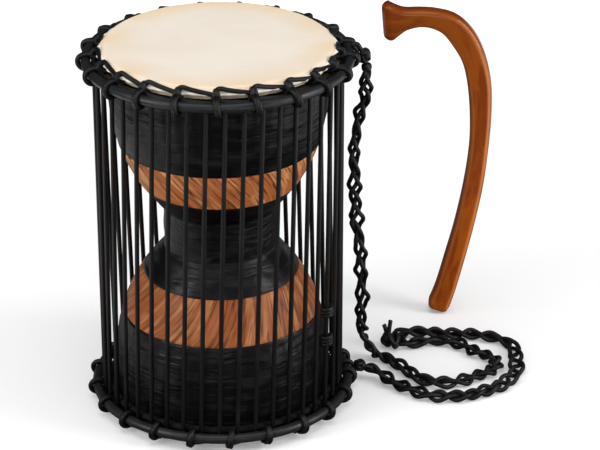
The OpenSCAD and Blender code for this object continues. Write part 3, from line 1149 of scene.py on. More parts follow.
@dataclass
class RopeMaker:
    """Makes every piece of rope of the model."""

    material: bpy.types.Material
    size: DrumSize = field(default_factory=DrumSize)
    sides: int = 14
    round_drum: bpy.types.NodeTree = field(default_factory=ring_of_rope_group)
    plait: bpy.types.NodeTree = field(default_factory=plait_group)

    @property
    def shared(self) -> dict[str, Any]:
        """Inputs that both node groups share."""
        radius = self.size.rope_d / 2 * MM
        return {"Rope radius": radius, "Sides": self.sides, "Material": self.material}

    def ring(
        self,
        name: str,
        lines: Sequence[Line],
        copies: int = 1,
        first: float = 0.0,
        step: float = 0.0,
        wobble: float = 0.0,
        seed: int = SEED,
        sink: float = 0.0,
        sink_from: float = -1000.0,
    ) -> bpy.types.Object:
        """Ropes along lines, copied round the axis.

        Args:
            name: Name of the piece.
            lines: Lines in millimetres, each with whether it is closed.
            copies: How many times they stand round the drum.
            first: Degrees of the first copy.
            step: Degrees between copies.
            wobble: Most degrees that a copy is off its place.
            seed: Seed of that wobble.
            sink: How much lower the rope lies at the drum's back, in millimetres.
            sink_from: Height below which nothing sinks, in millimetres.

        Returns:
            The rope piece as a plain mesh.
        """
        host = line_object(name, lines)
        values = {
            **self.shared,
            "Copies": copies,
            "First turn": math.radians(first),
            "Step": math.radians(step),
            "Wobble": math.radians(wobble),
            "Seed": seed,
            "Sink at the back": sink * MM,
            "Sink from height": sink_from * MM,
        }
        return baked(host, self.round_drum, values)

    def knot(
        self,
        centre: Point,
        radius: Point,
        turn: float,
        tilt: float,
        leads: int = 3,
        bights: int = 4,
    ) -> Line:
        """Line of a round knot: a rope that winds over and under itself on a ball.

        Args:
            centre: Middle of the knot.
            radius: Outer half size of the knot along each axis.
            turn: Degrees that it is turned round its upright axis.
            tilt: Degrees that it is tilted before that.
            leads: How many times the rope goes round.
            bights: How many times it comes to each end.

        Returns:
            The closed line.
        """
        core = np.asarray(radius, float) - self.size.rope_d / 2
        t = np.linspace(0, FULL_TURN * leads, 150, endpoint=False)
        lat = math.radians(52) * np.sin(t * bights / leads)
        swell = 1 + 0.16 * np.sin(2 * t * bights / leads)
        x, y = (swell * np.cos(lat) * wave for wave in (np.cos(t), np.sin(t)))
        p = np.stack([core[0] * x, core[1] * y, core[2] * np.sin(lat)], axis=1)
        tilted = Matrix.Rotation(math.radians(tilt), 3, "X")
        spin = Matrix.Rotation(math.radians(turn), 3, "Z") @ tilted
        return p @ np.array(spin).T + np.asarray(centre, float), True


# ---------------------------------------------------------------- shell
@dataclass
class Shell:
    """The carved wooden body: an hourglass with black stain and two bare bands."""

    size: DrumSize
    finishes: Finishes
    around: int = 240
    row_step: float = 1.75
    inner_rows: int = 44
    tool_step: float = 5.2
    tool_depth: float = 0.95
    band_tool_share: float = 0.35

    @property
    def edges(self) -> tuple[float, float]:
        """Distances from the middle at which a bare band starts and ends."""
        return self.size.band_near, self.size.band_near + self.size.band_w

    def to_edge(self, t: float) -> float:
        """Distance of a height above or below the middle from the nearest band's edge."""
        return min(abs(abs(t) - e) for e in self.edges)

    def is_bare(self, t: float) -> bool:
        """Whether a height above or below the middle lies in a bare band."""
        return self.edges[0] < abs(t) < self.edges[1]

    def ripple(
        self, az: np.ndarray, z: np.ndarray, columns: int, step: float, seed: int
    ) -> np.ndarray:
        """Smooth random relief with long marks round the drum and a short step in height.

        Args:
            az: Radians round the drum.
            z: Heights.
            columns: How many marks go round.
            step: Height of a mark.
            seed: Seed of the marks.

        Returns:
            Values from 0 to 1.
        """
        rows = int(320 / step) + 4
        grid = np.random.default_rng(seed).random((rows, columns))
        u = az / FULL_TURN * columns
        v = z / step + 1
        i, j = np.floor(u).astype(int), np.floor(v).astype(int)
        fu, fv = eased(u - i), eased(v - j)
        low, high = (
            grid[row, i % columns] * (1 - fu) + grid[row, (i + 1) % columns] * fu
            for row in (j, j + 1)
        )
        return low * (1 - fv) + high * fv

    def relief(self, az: np.ndarray, z: np.ndarray) -> np.ndarray:
        """Tool marks: long shallow ones with finer ones among them.

        Args:
            az: Radians round the drum.
            z: Heights.

        Returns:
            Depth of the wood from 0 to 1.
        """
        coarse = self.ripple(az, z, 30, self.tool_step, 3)
        fine = self.ripple(az, z, 68, self.tool_step * 0.55, 4)
        return 0.7 * coarse + 0.3 * fine

    def tool_share(self, t: float) -> float:
        """How deep the tool went: little on the bands, and not at their edges or the rims.

        Args:
            t: Height above the middle.

        Returns:
            A share of the tool's depth.
        """
        share = (self.band_tool_share if self.is_bare(t) else 1.0) * min(1.0, self.to_edge(t) / 3)
        return share * min(1.0, max(0.0, (self.size.mid - 6 - abs(t)) / 6))

    def heights(self) -> list[float]:
        """Heights of the outer rows above the middle, with extra ones at the bands' edges.

        Returns:
            The heights from the lowest up.
        """
        top = self.size.mid - self.size.skin_t - 2.1
        rows = list(np.arange(-top, top + 0.01, self.row_step))
        for edge in (side * near for near in self.edges for side in (-1, 1)):
            rows = [r for r in rows if abs(r - edge) > 1.5]
            rows += [edge + d for d in (-0.8, -0.3, 0, 0.3, 0.8)]
        return sorted(rows)

    def section(self) -> tuple[list[Point], list[Point]]:
        """Section of the wall, with a fine groove at each band's edge.

        Returns:
            Radius and height above the middle of the outer rows, from the foot up, and of the
            inner rows back down.
        """
        s = self.size
        half = s.mid - s.skin_t
        cap = [(s.rim_r - 0.6, half - 0.7), (s.rim_r - 2, half - 0.1)]
        lip = [(s.rim_r - s.wall + 2.5, half - 0.1), (s.rim_r - s.wall + 1, half - 1.5)]
        outer = [(r, -t) for r, t in cap[::-1]]
        for t in self.heights():
            outer.append((s.bowl_r(abs(t)) - max(0.0, s.groove - self.to_edge(t)), t))
        outer += cap
        inner = list(lip)
        for t in np.linspace(half - 5, 5 - half, self.inner_rows):
            inner.append((s.bowl_r(abs(t)) - s.wall, t))
        inner += [(r, -t) for r, t in lip[::-1]]
        return outer, inner

    def build(self) -> None:
        """Builds the shell's mesh and its two finishes."""
        outer, inner = self.section()
        rows = np.array(outer + inner)
        az = np.linspace(0, FULL_TURN, self.around, endpoint=False)
        grid_az, grid_r = np.meshgrid(az, rows[:, 0])
        _, grid_z = np.meshgrid(az, rows[:, 1] + self.size.mid)
        relief = self.relief(grid_az, grid_z)
        share = np.zeros(len(rows))
        share[: len(outer)] = [self.tool_share(t) for _, t in outer]
        verts = turned(grid_r - self.tool_depth * relief * share[:, None], grid_az, grid_z)
        faces = tube_faces(len(rows), self.around, closed=True)
        piece = make_object("shell_carved", verts, faces, self.finishes.stain, self.finishes.bare)
        middles = [(a[1] + b[1]) / 2 for a, b in zip(outer, outer[1:])]
        bare = [self.is_bare(t) for t in middles] + [False] * (len(inner) + 1)
        dressed = np.repeat(bare, self.around).astype(np.int32)
        piece.data.polygons.foreach_set("material_index", dressed)
        # ridge: crest height of the tool marks, which the stain's finish paints lighter as a
        # painted highlight
        store(piece, "ridge", (1 - relief).ravel())
        mend(piece)
        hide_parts("shell")
        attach(piece, Body.DRUM.value)


# ---------------------------------------------------------------- heads and lacing
@dataclass
class DrumEnd:
    """What the pieces at one end of the drum share."""

    size: DrumSize
    top: bool

    @property
    def end(self) -> str:
        """Prefix of the construction's names."""
        return "top" if self.top else "bottom"

    def up(self, h: float | np.ndarray) -> float | np.ndarray:
        """Height in the row frame of a height behind the head's face."""
        return self.size.height - h if self.top else h


@dataclass
class Head(DrumEnd):
    """One head: the stretched skin with its creased collar and its lap round the hoop."""

    finishes: Finishes
    around: int = 378
    folds: int = 63
    fold_depth: float = 0.5
    shoulder_r: float = 3.0
    shoulder_out: float = 1.1
    puff_at: float = 4.7
    puff_low: float = 3.1
    puff_high: float = 1.0
    bound_from: float = 9.2
    seed: int = 5

    def waves(
        self, rng: np.random.Generator, az: np.ndarray, least: float, most: float, *counts: int
    ) -> np.ndarray:
        """Sum of random waves round the head.

        Args:
            rng: Source of their heights and places.
            az: Radians round the head.
            least: Least height of a wave.
            most: Most height of a wave.
            *counts: How many crests each wave has.

        Returns:
            The sum at each place.
        """
        total = np.zeros(len(az))
        for k in counts:
            total += rng.uniform(least, most) * np.sin(k * az + rng.uniform(0, 6.28))
        return total

    def creases(self, az: np.ndarray) -> np.ndarray:
        """Unequal folds round the collar.

        Args:
            az: Radians round the head.

        Returns:
            Height of the folds from 0 to 1.
        """
        rng = np.random.default_rng(self.seed + (0 if self.top else 9))
        wander = self.waves(rng, az, 0.1, 0.32, 2, 5, 9, 14)
        wave = 0.5 + 0.5 * np.sin(self.folds * az + 2.6 * wander)
        tall = 0.62 + 0.38 * np.sin(23 * az + 1.7 + wander)
        return np.clip(wave**1.4 * tall, 0, 1)

    def section(self) -> dict[str, list[Point]]:
        """Section of the skin, as a closed wall that folds round the hoop and back.

        Returns:
            Radius and height behind the face of the rows of each stretch, in order.
        """
        s = self.size
        out_r = s.collar_in + s.skin_t
        bend = (out_r - self.shoulder_r, self.shoulder_r)
        hoop = (s.hoop_r, s.hoop_h)
        tip_r, tip_h = s.hoop_r + s.lap_r, s.hoop_h - 0.9
        return {
            "face": [(r, 0.0) for r in (0.01, 6, 14, 24, 35, 46, 56, 65, 72, 78, 81.5)],
            "bend": arc(bend, self.shoulder_r, -90, 0, 8),
            "collar": [(out_r, h) for h in np.linspace(3.6, s.hoop_h - 0.8, 11)],
            "lap": arc(hoop, s.lap_r, 180, 0, 12),
            "tip": [(tip_r, tip_h), (tip_r + s.skin_t, tip_h)],
            "back": arc(hoop, s.lap_r + s.skin_t, 0, 180, 14),
            "under": [(s.collar_in, h) for h in np.linspace(s.hoop_h - 1.2, 3.4, 6)],
            "inner": arc(bend, self.shoulder_r - s.skin_t, 0, -90, 5),
            "inside": [(r, s.skin_t) for r in (80, 60, 30, 0.01)],
        }

    def shaped(
        self, rows: np.ndarray, face: int, outside: int, weight: np.ndarray, crease: np.ndarray
    ) -> tuple[np.ndarray, np.ndarray]:
        """Swells, folds and waves of the skin on its plain section.

        Args:
            rows: Radius and height of the section's rows.
            face: How many of them are the flat face.
            outside: How many of them are face, bend and collar.
            weight: How much of the folds each row has.
            crease: Height of the folds round the head.

        Returns:
            Radius and height behind the face of every point.
        """
        puff = np.exp(-(((rows[:, 1] - self.puff_at) / 2.2) ** 2)) * (weight > 0)
        out = self.fold_depth * weight[:, None] * crease[None, :]
        out += puff[:, None] * (self.puff_low + self.puff_high * crease[None, :])
        wide = ramp(rows[:, 0], 62, 24) * ramp(rows[:, 1], 9, -6)
        wide[outside:] = 0
        out += self.shoulder_out * eased(wide)[:, None]
        r = rows[:, 0][:, None] + out
        h = rows[:, 1][:, None] + 0 * r
        az = np.linspace(0, FULL_TURN, self.around, endpoint=False)
        sway = self.waves(np.random.default_rng(self.seed), az, 0.02, 0.06, 2, 3, 5)
        for k in range(3, face):
            h[k] += 0.25 * (0.5 + sway) * math.sin(math.pi * (rows[k][0] / 84) ** 2) ** 2
        return r, h

    def bound(self, rows: np.ndarray, first: int, last: int, az: np.ndarray) -> np.ndarray:
        """Which faces carry the black binding; a few places of its edge are worn through.

        Args:
            rows: Radius and height of the section's rows.
            first: First row that can carry it.
            last: Row behind the last that can.
            az: Radians round the head.

        Returns:
            Material index of every face, with 1 for the binding.
        """
        wear_and_highlight = np.sin(17 * az + 1.3) * np.sin(5 * az + 0.4) > (0.78 if self.top else 0.9)
        dressed = np.zeros((len(rows) - 1, self.around), np.int32)
        for k in range(first, last):
            high = (rows[k][1] + rows[k + 1][1]) / 2
            if high > (self.bound_from if self.top else 3.4):
                at_tip = high < self.size.hoop_h + 1.2 and rows[k][0] > self.size.hoop_r
                dressed[k] = np.where(wear_and_highlight & at_tip, 0, 1)
        return np.append(dressed.ravel(), np.zeros(2, np.int32))

    def build(self) -> None:
        """Builds the skin as a closed shell with its creases."""
        parts = self.section()
        rows = np.array([row for part in parts.values() for row in part])
        count = {name: len(part) for name, part in parts.items()}
        outside = count["face"] + count["bend"] + count["collar"]
        start, end = count["face"] + count["bend"] - 3, outside + 3
        az = np.linspace(0, FULL_TURN, self.around, endpoint=False)
        crease = self.creases(az)
        u = np.linspace(0, 1, end - start)
        weight = np.zeros(len(rows))
        weight[start:end] = np.minimum(1, u * 2.2) * np.minimum(1, (1 - u) * 4 + 0.2)
        r, h = self.shaped(rows, count["face"], outside, weight, crease)
        faces = tube_faces(len(rows), self.around)
        materials = (self.finishes.skin, self.finishes.binding)
        verts = turned(r, az, self.up(h))
        piece = make_object(f"{self.end}_skin_stretched", verts, faces, *materials)
        last = len(rows) - count["inner"] - count["inside"] - count["under"] + 1
        piece.data.polygons.foreach_set("material_index", self.bound(rows, start, last, az))
        # fold: height of the creases; the skin's finish paints their valleys darker as painted
        # shade
        share = np.where(weight > 0.25, weight, 0)[:, None]
        fold = np.where(share > 0, crease + (1 - share) * (1 - crease), 1.0)
        store(piece, "fold", fold.ravel())
        mend(piece)
        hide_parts(f"{self.end}_head_skin")
        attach(piece, Body.DRUM.value)


@dataclass
class Lacing(DrumEnd):
    """Rope at one end of the drum: the chain round the edge and the hitches on the ring."""

    rope: RopeMaker
    link_half: float = 14.4
    back_sink: float = 4.2
    chain_wobble: float = 0.25
    hitch_wobble: float = 0.35
    hitch_seed: int = 4

    def placed(self, r: Any, h: Any, t: Any) -> np.ndarray:
        """Points at the drum's front.

        Args:
            r: Radii.
            h: Heights behind the head's face.
            t: Places to the side.

        Returns:
            Points of three coordinates.
        """
        r, h, t = (np.asarray(v, float) for v in (r, h, t))
        return np.stack([t, -r, self.up(h) + 0 * t], axis=-1)

    def loop(self) -> Line:
        """Line of one leaning loop of the chain, at the front.

        Its inner strand arches over the head's edge on the left and falls to the right. Each
        row gives the place along the loop, the share across it and the share of its rise.

        Returns:
            The closed line.
        """
        in_r, out_r, low, rise = (90.0, 94.0, 1.5, 7.9) if self.top else (90.3, 93.2, 3.0, 4.6)
        rows = [
            (-0.97, 0.30, 0.12), (-0.87, 0.06, -0.18), (-0.68, 0.0, -0.24), (-0.36, 0.0, -0.06),
            (0.0, 0.0, 0.09), (0.4, 0.02, 0.22), (0.78, 0.12, 0.34), (0.98, 0.42, 0.6),
            (0.86, 0.84, 0.98), (0.5, 1.0, 1.06), (0.0, 1.0, 1.0), (-0.45, 0.98, 0.94),
            (-0.82, 0.86, 0.8), (-1.0, 0.6, 0.5),
        ]
        place, across, up = np.array(rows).T
        line = self.placed(in_r + across * (out_r - in_r), low + up * rise, place * self.link_half)
        return smooth_line(line, 1.1, closed=True), True

    def hitch(self) -> list[Line]:
        """The knot where two loops meet, and its two strands round the ring.

        Returns:
            Lines of the strands and of the knot's two turns.
        """
        s = self.size
        turns = np.radians([128, 104, 80, 55, 30, 5, -20, -50, -80, -110, -140, -165])
        lift = np.array([2.0, 0.6, 0.15, 0, 0, 0, 0, 0, 0, 0, 0, -0.3])
        apart = np.array([1.35, 1.25, 1.1, 0.95, 0.8, 0.7, 0.65, 0.6, 0.5, 0.4, 0.3, 0.2])
        slant = np.array([0, 0, 0, 0.1, 0.4, 0.8, 1.2, 1.6, 1.8, 1.8, 1.6, 1.4])
        lines = []
        for side, proud in ((-1, 0.0), (1, 0.45)):
            reach = s.turn_r + lift + proud
            r = s.ring_r + reach * np.cos(turns)
            h = s.ring_h - reach * np.sin(turns)
            lines.append((smooth_line(self.placed(r, h, side * apart + slant), 0.9), False))
        mid_h, half_h = (4.7, 4.1) if self.top else (5.3, 3.3)
        a = np.linspace(0, FULL_TURN, 30, endpoint=False)
        for side in (-1, 1):
            t = side * (1.15 + 0.75 * np.sin(a)) + 0.5 * side * np.cos(a)
            r, h = 92.3 + 3.3 * np.cos(a), mid_h + half_h * np.sin(a)
            lines.append((self.placed(r, h, t), True))
        return lines

    def build(self) -> None:
        """Makes both pieces of this end."""
        s = self.size
        start = s.first_hitch if self.top else s.low_hitch
        sink = self.back_sink if self.top else 0.0
        chain = self.rope.ring(
            f"{self.end}_rim_chain",
            [self.loop()],
            s.hitches,
            start + s.pitch / 2,
            s.pitch,
            self.chain_wobble,
            sink=sink,
        )
        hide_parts(f"{self.end}_rim_loops")
        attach(chain, Body.DRUM.value)
        hitches = self.rope.ring(
            f"{self.end}_ring_lashings",
            self.hitch(),
            s.hitches,
            start,
            s.pitch,
            self.hitch_wobble,
            self.hitch_seed,
            sink=sink,
            sink_from=s.height - 8.5,
        )
        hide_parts(f"{self.end}_ring_hitches")
        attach(hitches, Body.DRUM.value)


@dataclass
class TensionCords:
    """The 42 straight cords, with the two side bundles that bow in when the drum is squeezed; all
    are made straight here.
    """

    size: DrumSize
    rope: RopeMaker
    count: int = 42
    right_mid: int = 10
    left_mid: int = 31
    reach: int = 3
    bend_r: float = 96.4
    bend_z: tuple[float, float] = (171.0, 127.0)
    knots: tuple[tuple[float, float], ...] = ((68.0, 0.0), (93.0, 70.0))
    knot_turns: float = 3.1
    knot_r: float = 3.75
    knot_half: float = 4.1

    def lines(self, numbers: Iterable[int]) -> list[Line]:
        """Centrelines of the numbered cords."""
        heights = np.linspace(self.size.cord_bottom, self.size.cord_top, 56)
        return [(np.array([self.size.cord_at(i, z) for z in heights]), False) for i in numbers]

    def build(self) -> None:
        """Makes the still cords and the bundles."""
        right = range(self.right_mid - self.reach, self.right_mid + self.reach + 1)
        left = range(self.left_mid - self.reach, self.left_mid + self.reach + 1)
        front = range(left[-1] + 1 - self.count, right[0])
        back = range(right[-1] + 1, left[0])
        for name, numbers in (("cords_front", front), ("cords_back", back)):
            piece = self.rope.ring(f"{name}_rope", self.lines(numbers))
            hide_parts(name)
            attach(piece, Body.DRUM.value)
        for side, numbers, sign in (("right", right, 1), ("left", left, -1)):
            piece = self.rope.ring(f"cords_{side}_rope", self.lines(numbers))
            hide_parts(f"cords_{side}_upper", f"cords_{side}_lower")
            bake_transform(piece)

    def tie_offs(self) -> None:
        """Makes the tension rope's two tied ends: three turns round a cord."""
        lines = []
        for z, start in self.knots:
            centre = self.size.cord_at(self.right_mid - self.reach, z)
            spin = np.linspace(0, FULL_TURN * self.knot_turns, 90) + math.radians(start)
            climb = np.linspace(-self.knot_half, self.knot_half, 90)
            coil = [self.knot_r * np.cos(spin), self.knot_r * np.sin(spin), climb]
            lines.append((np.stack(coil, axis=1) + centre, False))
        piece = self.rope.ring("tie_off_turns", lines)
        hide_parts("tie_off_knots")
        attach(piece, Body.RIGHT_LOWER.value)


# ---------------------------------------------------------------- strap
@dataclass
class Strap:
    """The plaited shoulder strap with its knots and loose ends."""

    size: DrumSize
    rope: RopeMaker
    width: float = 11.0
    wave: float = 47.0
    strands: int = 3
    half_width: float = 3.35
    half_depth: float = 1.9
    drop: float = 1.7
    top_knot: Point = (111.08, 9.72, 283.5)
    low_knot: Point = (112.78, 9.72, 274.0)
    bottom_knot: Point = (110.28, 16.48, 11.5)
    tie: Point = (134.80, 69.65, 6.2)
    floor_z: float = 5.7

    def route(self) -> list[Point]:
        """The strap's route, the same as the construction's.

        Returns:
            Points from the upper knot down, round both floor loops and back to the lower knot.
        """
        down = [(112.78, 9.72, 271.9), (112.78, 9.72, 259.9), (113, 12, 250), (108.5, 18, 230)]
        down += [(104, 23, 205), (104, 25, 180), (106.4, 26, 150), (109, 27, 120)]
        down += [(110.5, 29, 92), (110.6, 32, 66), (111.6, 37, 42), (115, 43, 22), (122, 47, 9.5)]
        small = [
            (129, 46), (136, 39), (143, 28.5), (150.5, 17.5), (159, 8), (170, 2.2), (182, 2.5),
            (194, 7.5), (206, 14), (216, 21), (222.7, 30), (222.5, 39.5), (214.5, 48), (205, 56),
            (196, 63.5), (185, 69.8), (173, 72), (162, 69.5),
        ]
        back = arc((155, 77), 10.7, 270, 90, 6)
        large = [
            (164, 86.6), (175, 85.8), (187, 85.6), (199, 85), (211, 83.2), (222, 79.5),
            (231, 72.5), (236.5, 62), (238, 48), (237.6, 34), (235.8, 20), (231.5, 8), (225, -2),
            (216, -10), (205, -16), (192, -19.5), (179, -20), (168, -18.5), (158, -14.3),
            (149, -8.3), (140, -1.5),
        ]
        home = [(132, 6.2, 6.6), (125.3, 11.6, 9), (119.11, 14.11, 11.5), (113.27, 15.68, 11.5)]
        return down + [(x, y, self.floor_z) for x, y in small + back + large] + home

    def settled(self) -> np.ndarray:
        """The route as a smooth line that sinks a little where it lies on the floor.

        Returns:
            Its points.
        """
        line = smooth_line(self.route(), 1.2)
        line[:, 2] -= self.drop * eased(ramp(line[:, 2], 26, -18))
        return line

    def directions(self, line: np.ndarray) -> tuple[np.ndarray, np.ndarray]:
        """Which way the plait faces: to the front where it hangs, and up on the floor.

        Args:
            line: The strap's centreline.

        Returns:
            Unit vectors across the plait and out of its flat side, at each point.
        """
        ahead = ahead_of(line)
        share = eased(ramp(line[:, 2], 60, -50))[:, None]
        wish = np.array([0.0, -1.0, 0.0]) * (1 - share) + np.array([0.0, 0.0, 1.0]) * share
        flat = wish - (wish * ahead).sum(1)[:, None] * ahead
        flat /= np.linalg.norm(flat, axis=1)[:, None]
        return np.cross(ahead, flat), flat

    def looseness(self, run: np.ndarray, z: np.ndarray) -> np.ndarray:
        """How wide the plait lies: unevenly, slacker on the floor and tight at its ends.

        Args:
            run: Distance along the strap.
            z: Heights.

        Returns:
            Share of the plait's width at each point.
        """
        loose = 0.86 + 0.1 * np.sin(run / 17.0 + 0.6)
        rng = np.random.default_rng(SEED)
        slack = 14.0
        while slack < run[-1]:
            loose += rng.uniform(0.25, 0.75) * np.exp(-(((run - slack) / rng.uniform(4, 7)) ** 2))
            slack += rng.uniform(14, 34)
        loose += ramp(z, 30, -24) * (0.3 + 0.2 * np.sin(run / 29.0 + 2.0))
        to_end = np.minimum(run, run[-1] - run)
        return np.minimum(loose, 1.5) * (0.45 + 0.55 * ramp(to_end, 0, 16))

    def build(self) -> None:
        knots = [self.upper_knots(), self.lower_knot(), self.tie_knot()]
        for piece in knots:
            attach(piece, Body.DRUM.value)
        line = self.settled()
        run = run_along(line)
        side, flat = self.directions(line)
        drift = 0.8 * np.sin(run / 61.0) + 0.55 * np.sin(run / 23.0 + 1.0)
        host = line_object("strap_plait", [(line, False)])
        store(host, "phase", FULL_TURN * run / self.wave + drift)
        store(host, "loose", self.looseness(run, line[:, 2]))
        store(host, "side", side)
        store(host, "flat", flat)
        values = {
            **self.rope.shared,
            "Strands": self.strands,
            "Half width": self.half_width * MM,
            "Half depth": self.half_depth * MM,
        }
        plait = baked(host, self.rope.plait, values)
        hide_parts("strap_hanging", "strap_coil")
        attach(plait, Body.DRUM.value)

    def ring_turn(self, az: float, z: float, up: int) -> np.ndarray:
        """A turn of rope round a ring, open towards the drum.

        Args:
            az: Degrees round from the front.
            z: Height of the ring.
            up: 1 where it ends on the ring's upper side, and -1 where it ends below.

        Returns:
            Its 24 points.
        """
        a = np.radians(np.linspace(-160, 62, 24))
        r = self.size.ring_r + self.size.turn_r * np.cos(a)
        h = z + up * self.size.turn_r * np.sin(a)
        t = math.radians(az)
        return np.stack([r * math.sin(t), -r * math.cos(t), h], axis=1)

    def upper_knots(self) -> bpy.types.Object:
        """Makes the two knots under the upper ring, and their turn round it.

        Returns:
            The piece.
        """
        top = np.array(self.top_knot)
        turn = self.ring_turn(95.0, self.size.height - self.size.ring_h, 1)
        lead = [*turn[[0, 6, 12, 18, 23]], (105.5, 9.3, 293.0), top + (-2, 0, 3.5)]
        back = [turn[14] + (1.5, 2.0, 0), (107.5, 9.5, 282.0), top + (-2, 0, -3)]
        lines = [
            (smooth_line(lead, 1.0), False),
            (smooth_line(back, 1.0), False),
            self.rope.knot(self.top_knot, (5.0, 5.0, 7.0), 20, 12),
            self.rope.knot(self.low_knot, (4.1, 4.1, 4.2), 55, -8),
        ]
        piece = self.rope.ring("strap_upper_knots", lines)
        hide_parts("strap_top_knot")
        return piece

    def lower_knot(self) -> bpy.types.Object:
        """Makes the knot at the lower ring, and its turn round it.

        Returns:
            The piece.
        """
        turn = self.ring_turn(98.5, self.size.ring_h, -1)
        lead = [*turn[::4], np.array(self.bottom_knot) + (-3, 0, 1.5)]
        knot = self.rope.knot(self.bottom_knot, (5.4, 5.4, 5.2), 30, 0)
        piece = self.rope.ring("strap_lower_knot", [(smooth_line(lead, 1.0), False), knot])
        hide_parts("strap_bottom_knot")
        return piece

    def tie_knot(self) -> bpy.types.Object:
        """Makes the knot on the floor with its three loose ends and its wraps.

        Returns:
            The piece.
        """
        centre = np.array(self.tie)
        lines = [self.rope.knot(self.tie, (6.3, 6.2, 5.9), 10, 18)]
        for az, tilt, reach in ((127, 24, 14), (72, 25, 17), (-62, 94, 13)):
            a, b = math.radians(az), math.radians(tilt)
            way = np.array([math.sin(b) * math.cos(a), math.sin(b) * math.sin(a), math.cos(b)])
            ends = [centre + way * 2, centre + way * reach * 0.5 + (0, 0, 0.8)]
            ends += [centre + way * reach * 0.85, centre + way * reach + (0, 0, -1.2)]
            lines.append((smooth_line(ends, 1.0), False))
        wraps = (
            ((-2, 5, 7), (0, -3, 7.6), (3, -7.6, 2.5), (8, -7, -2.4)),
            ((5, 6, 3), (7.4, 1, 4), (7.6, -4, 0.5), (4, -8, -3)),
        )
        for wrap in wraps:
            lines.append((smooth_line([centre + p for p in wrap], 1.0), False))
        piece = self.rope.ring("strap_tie_knot", lines)
        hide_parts("strap_tails")
        return piece


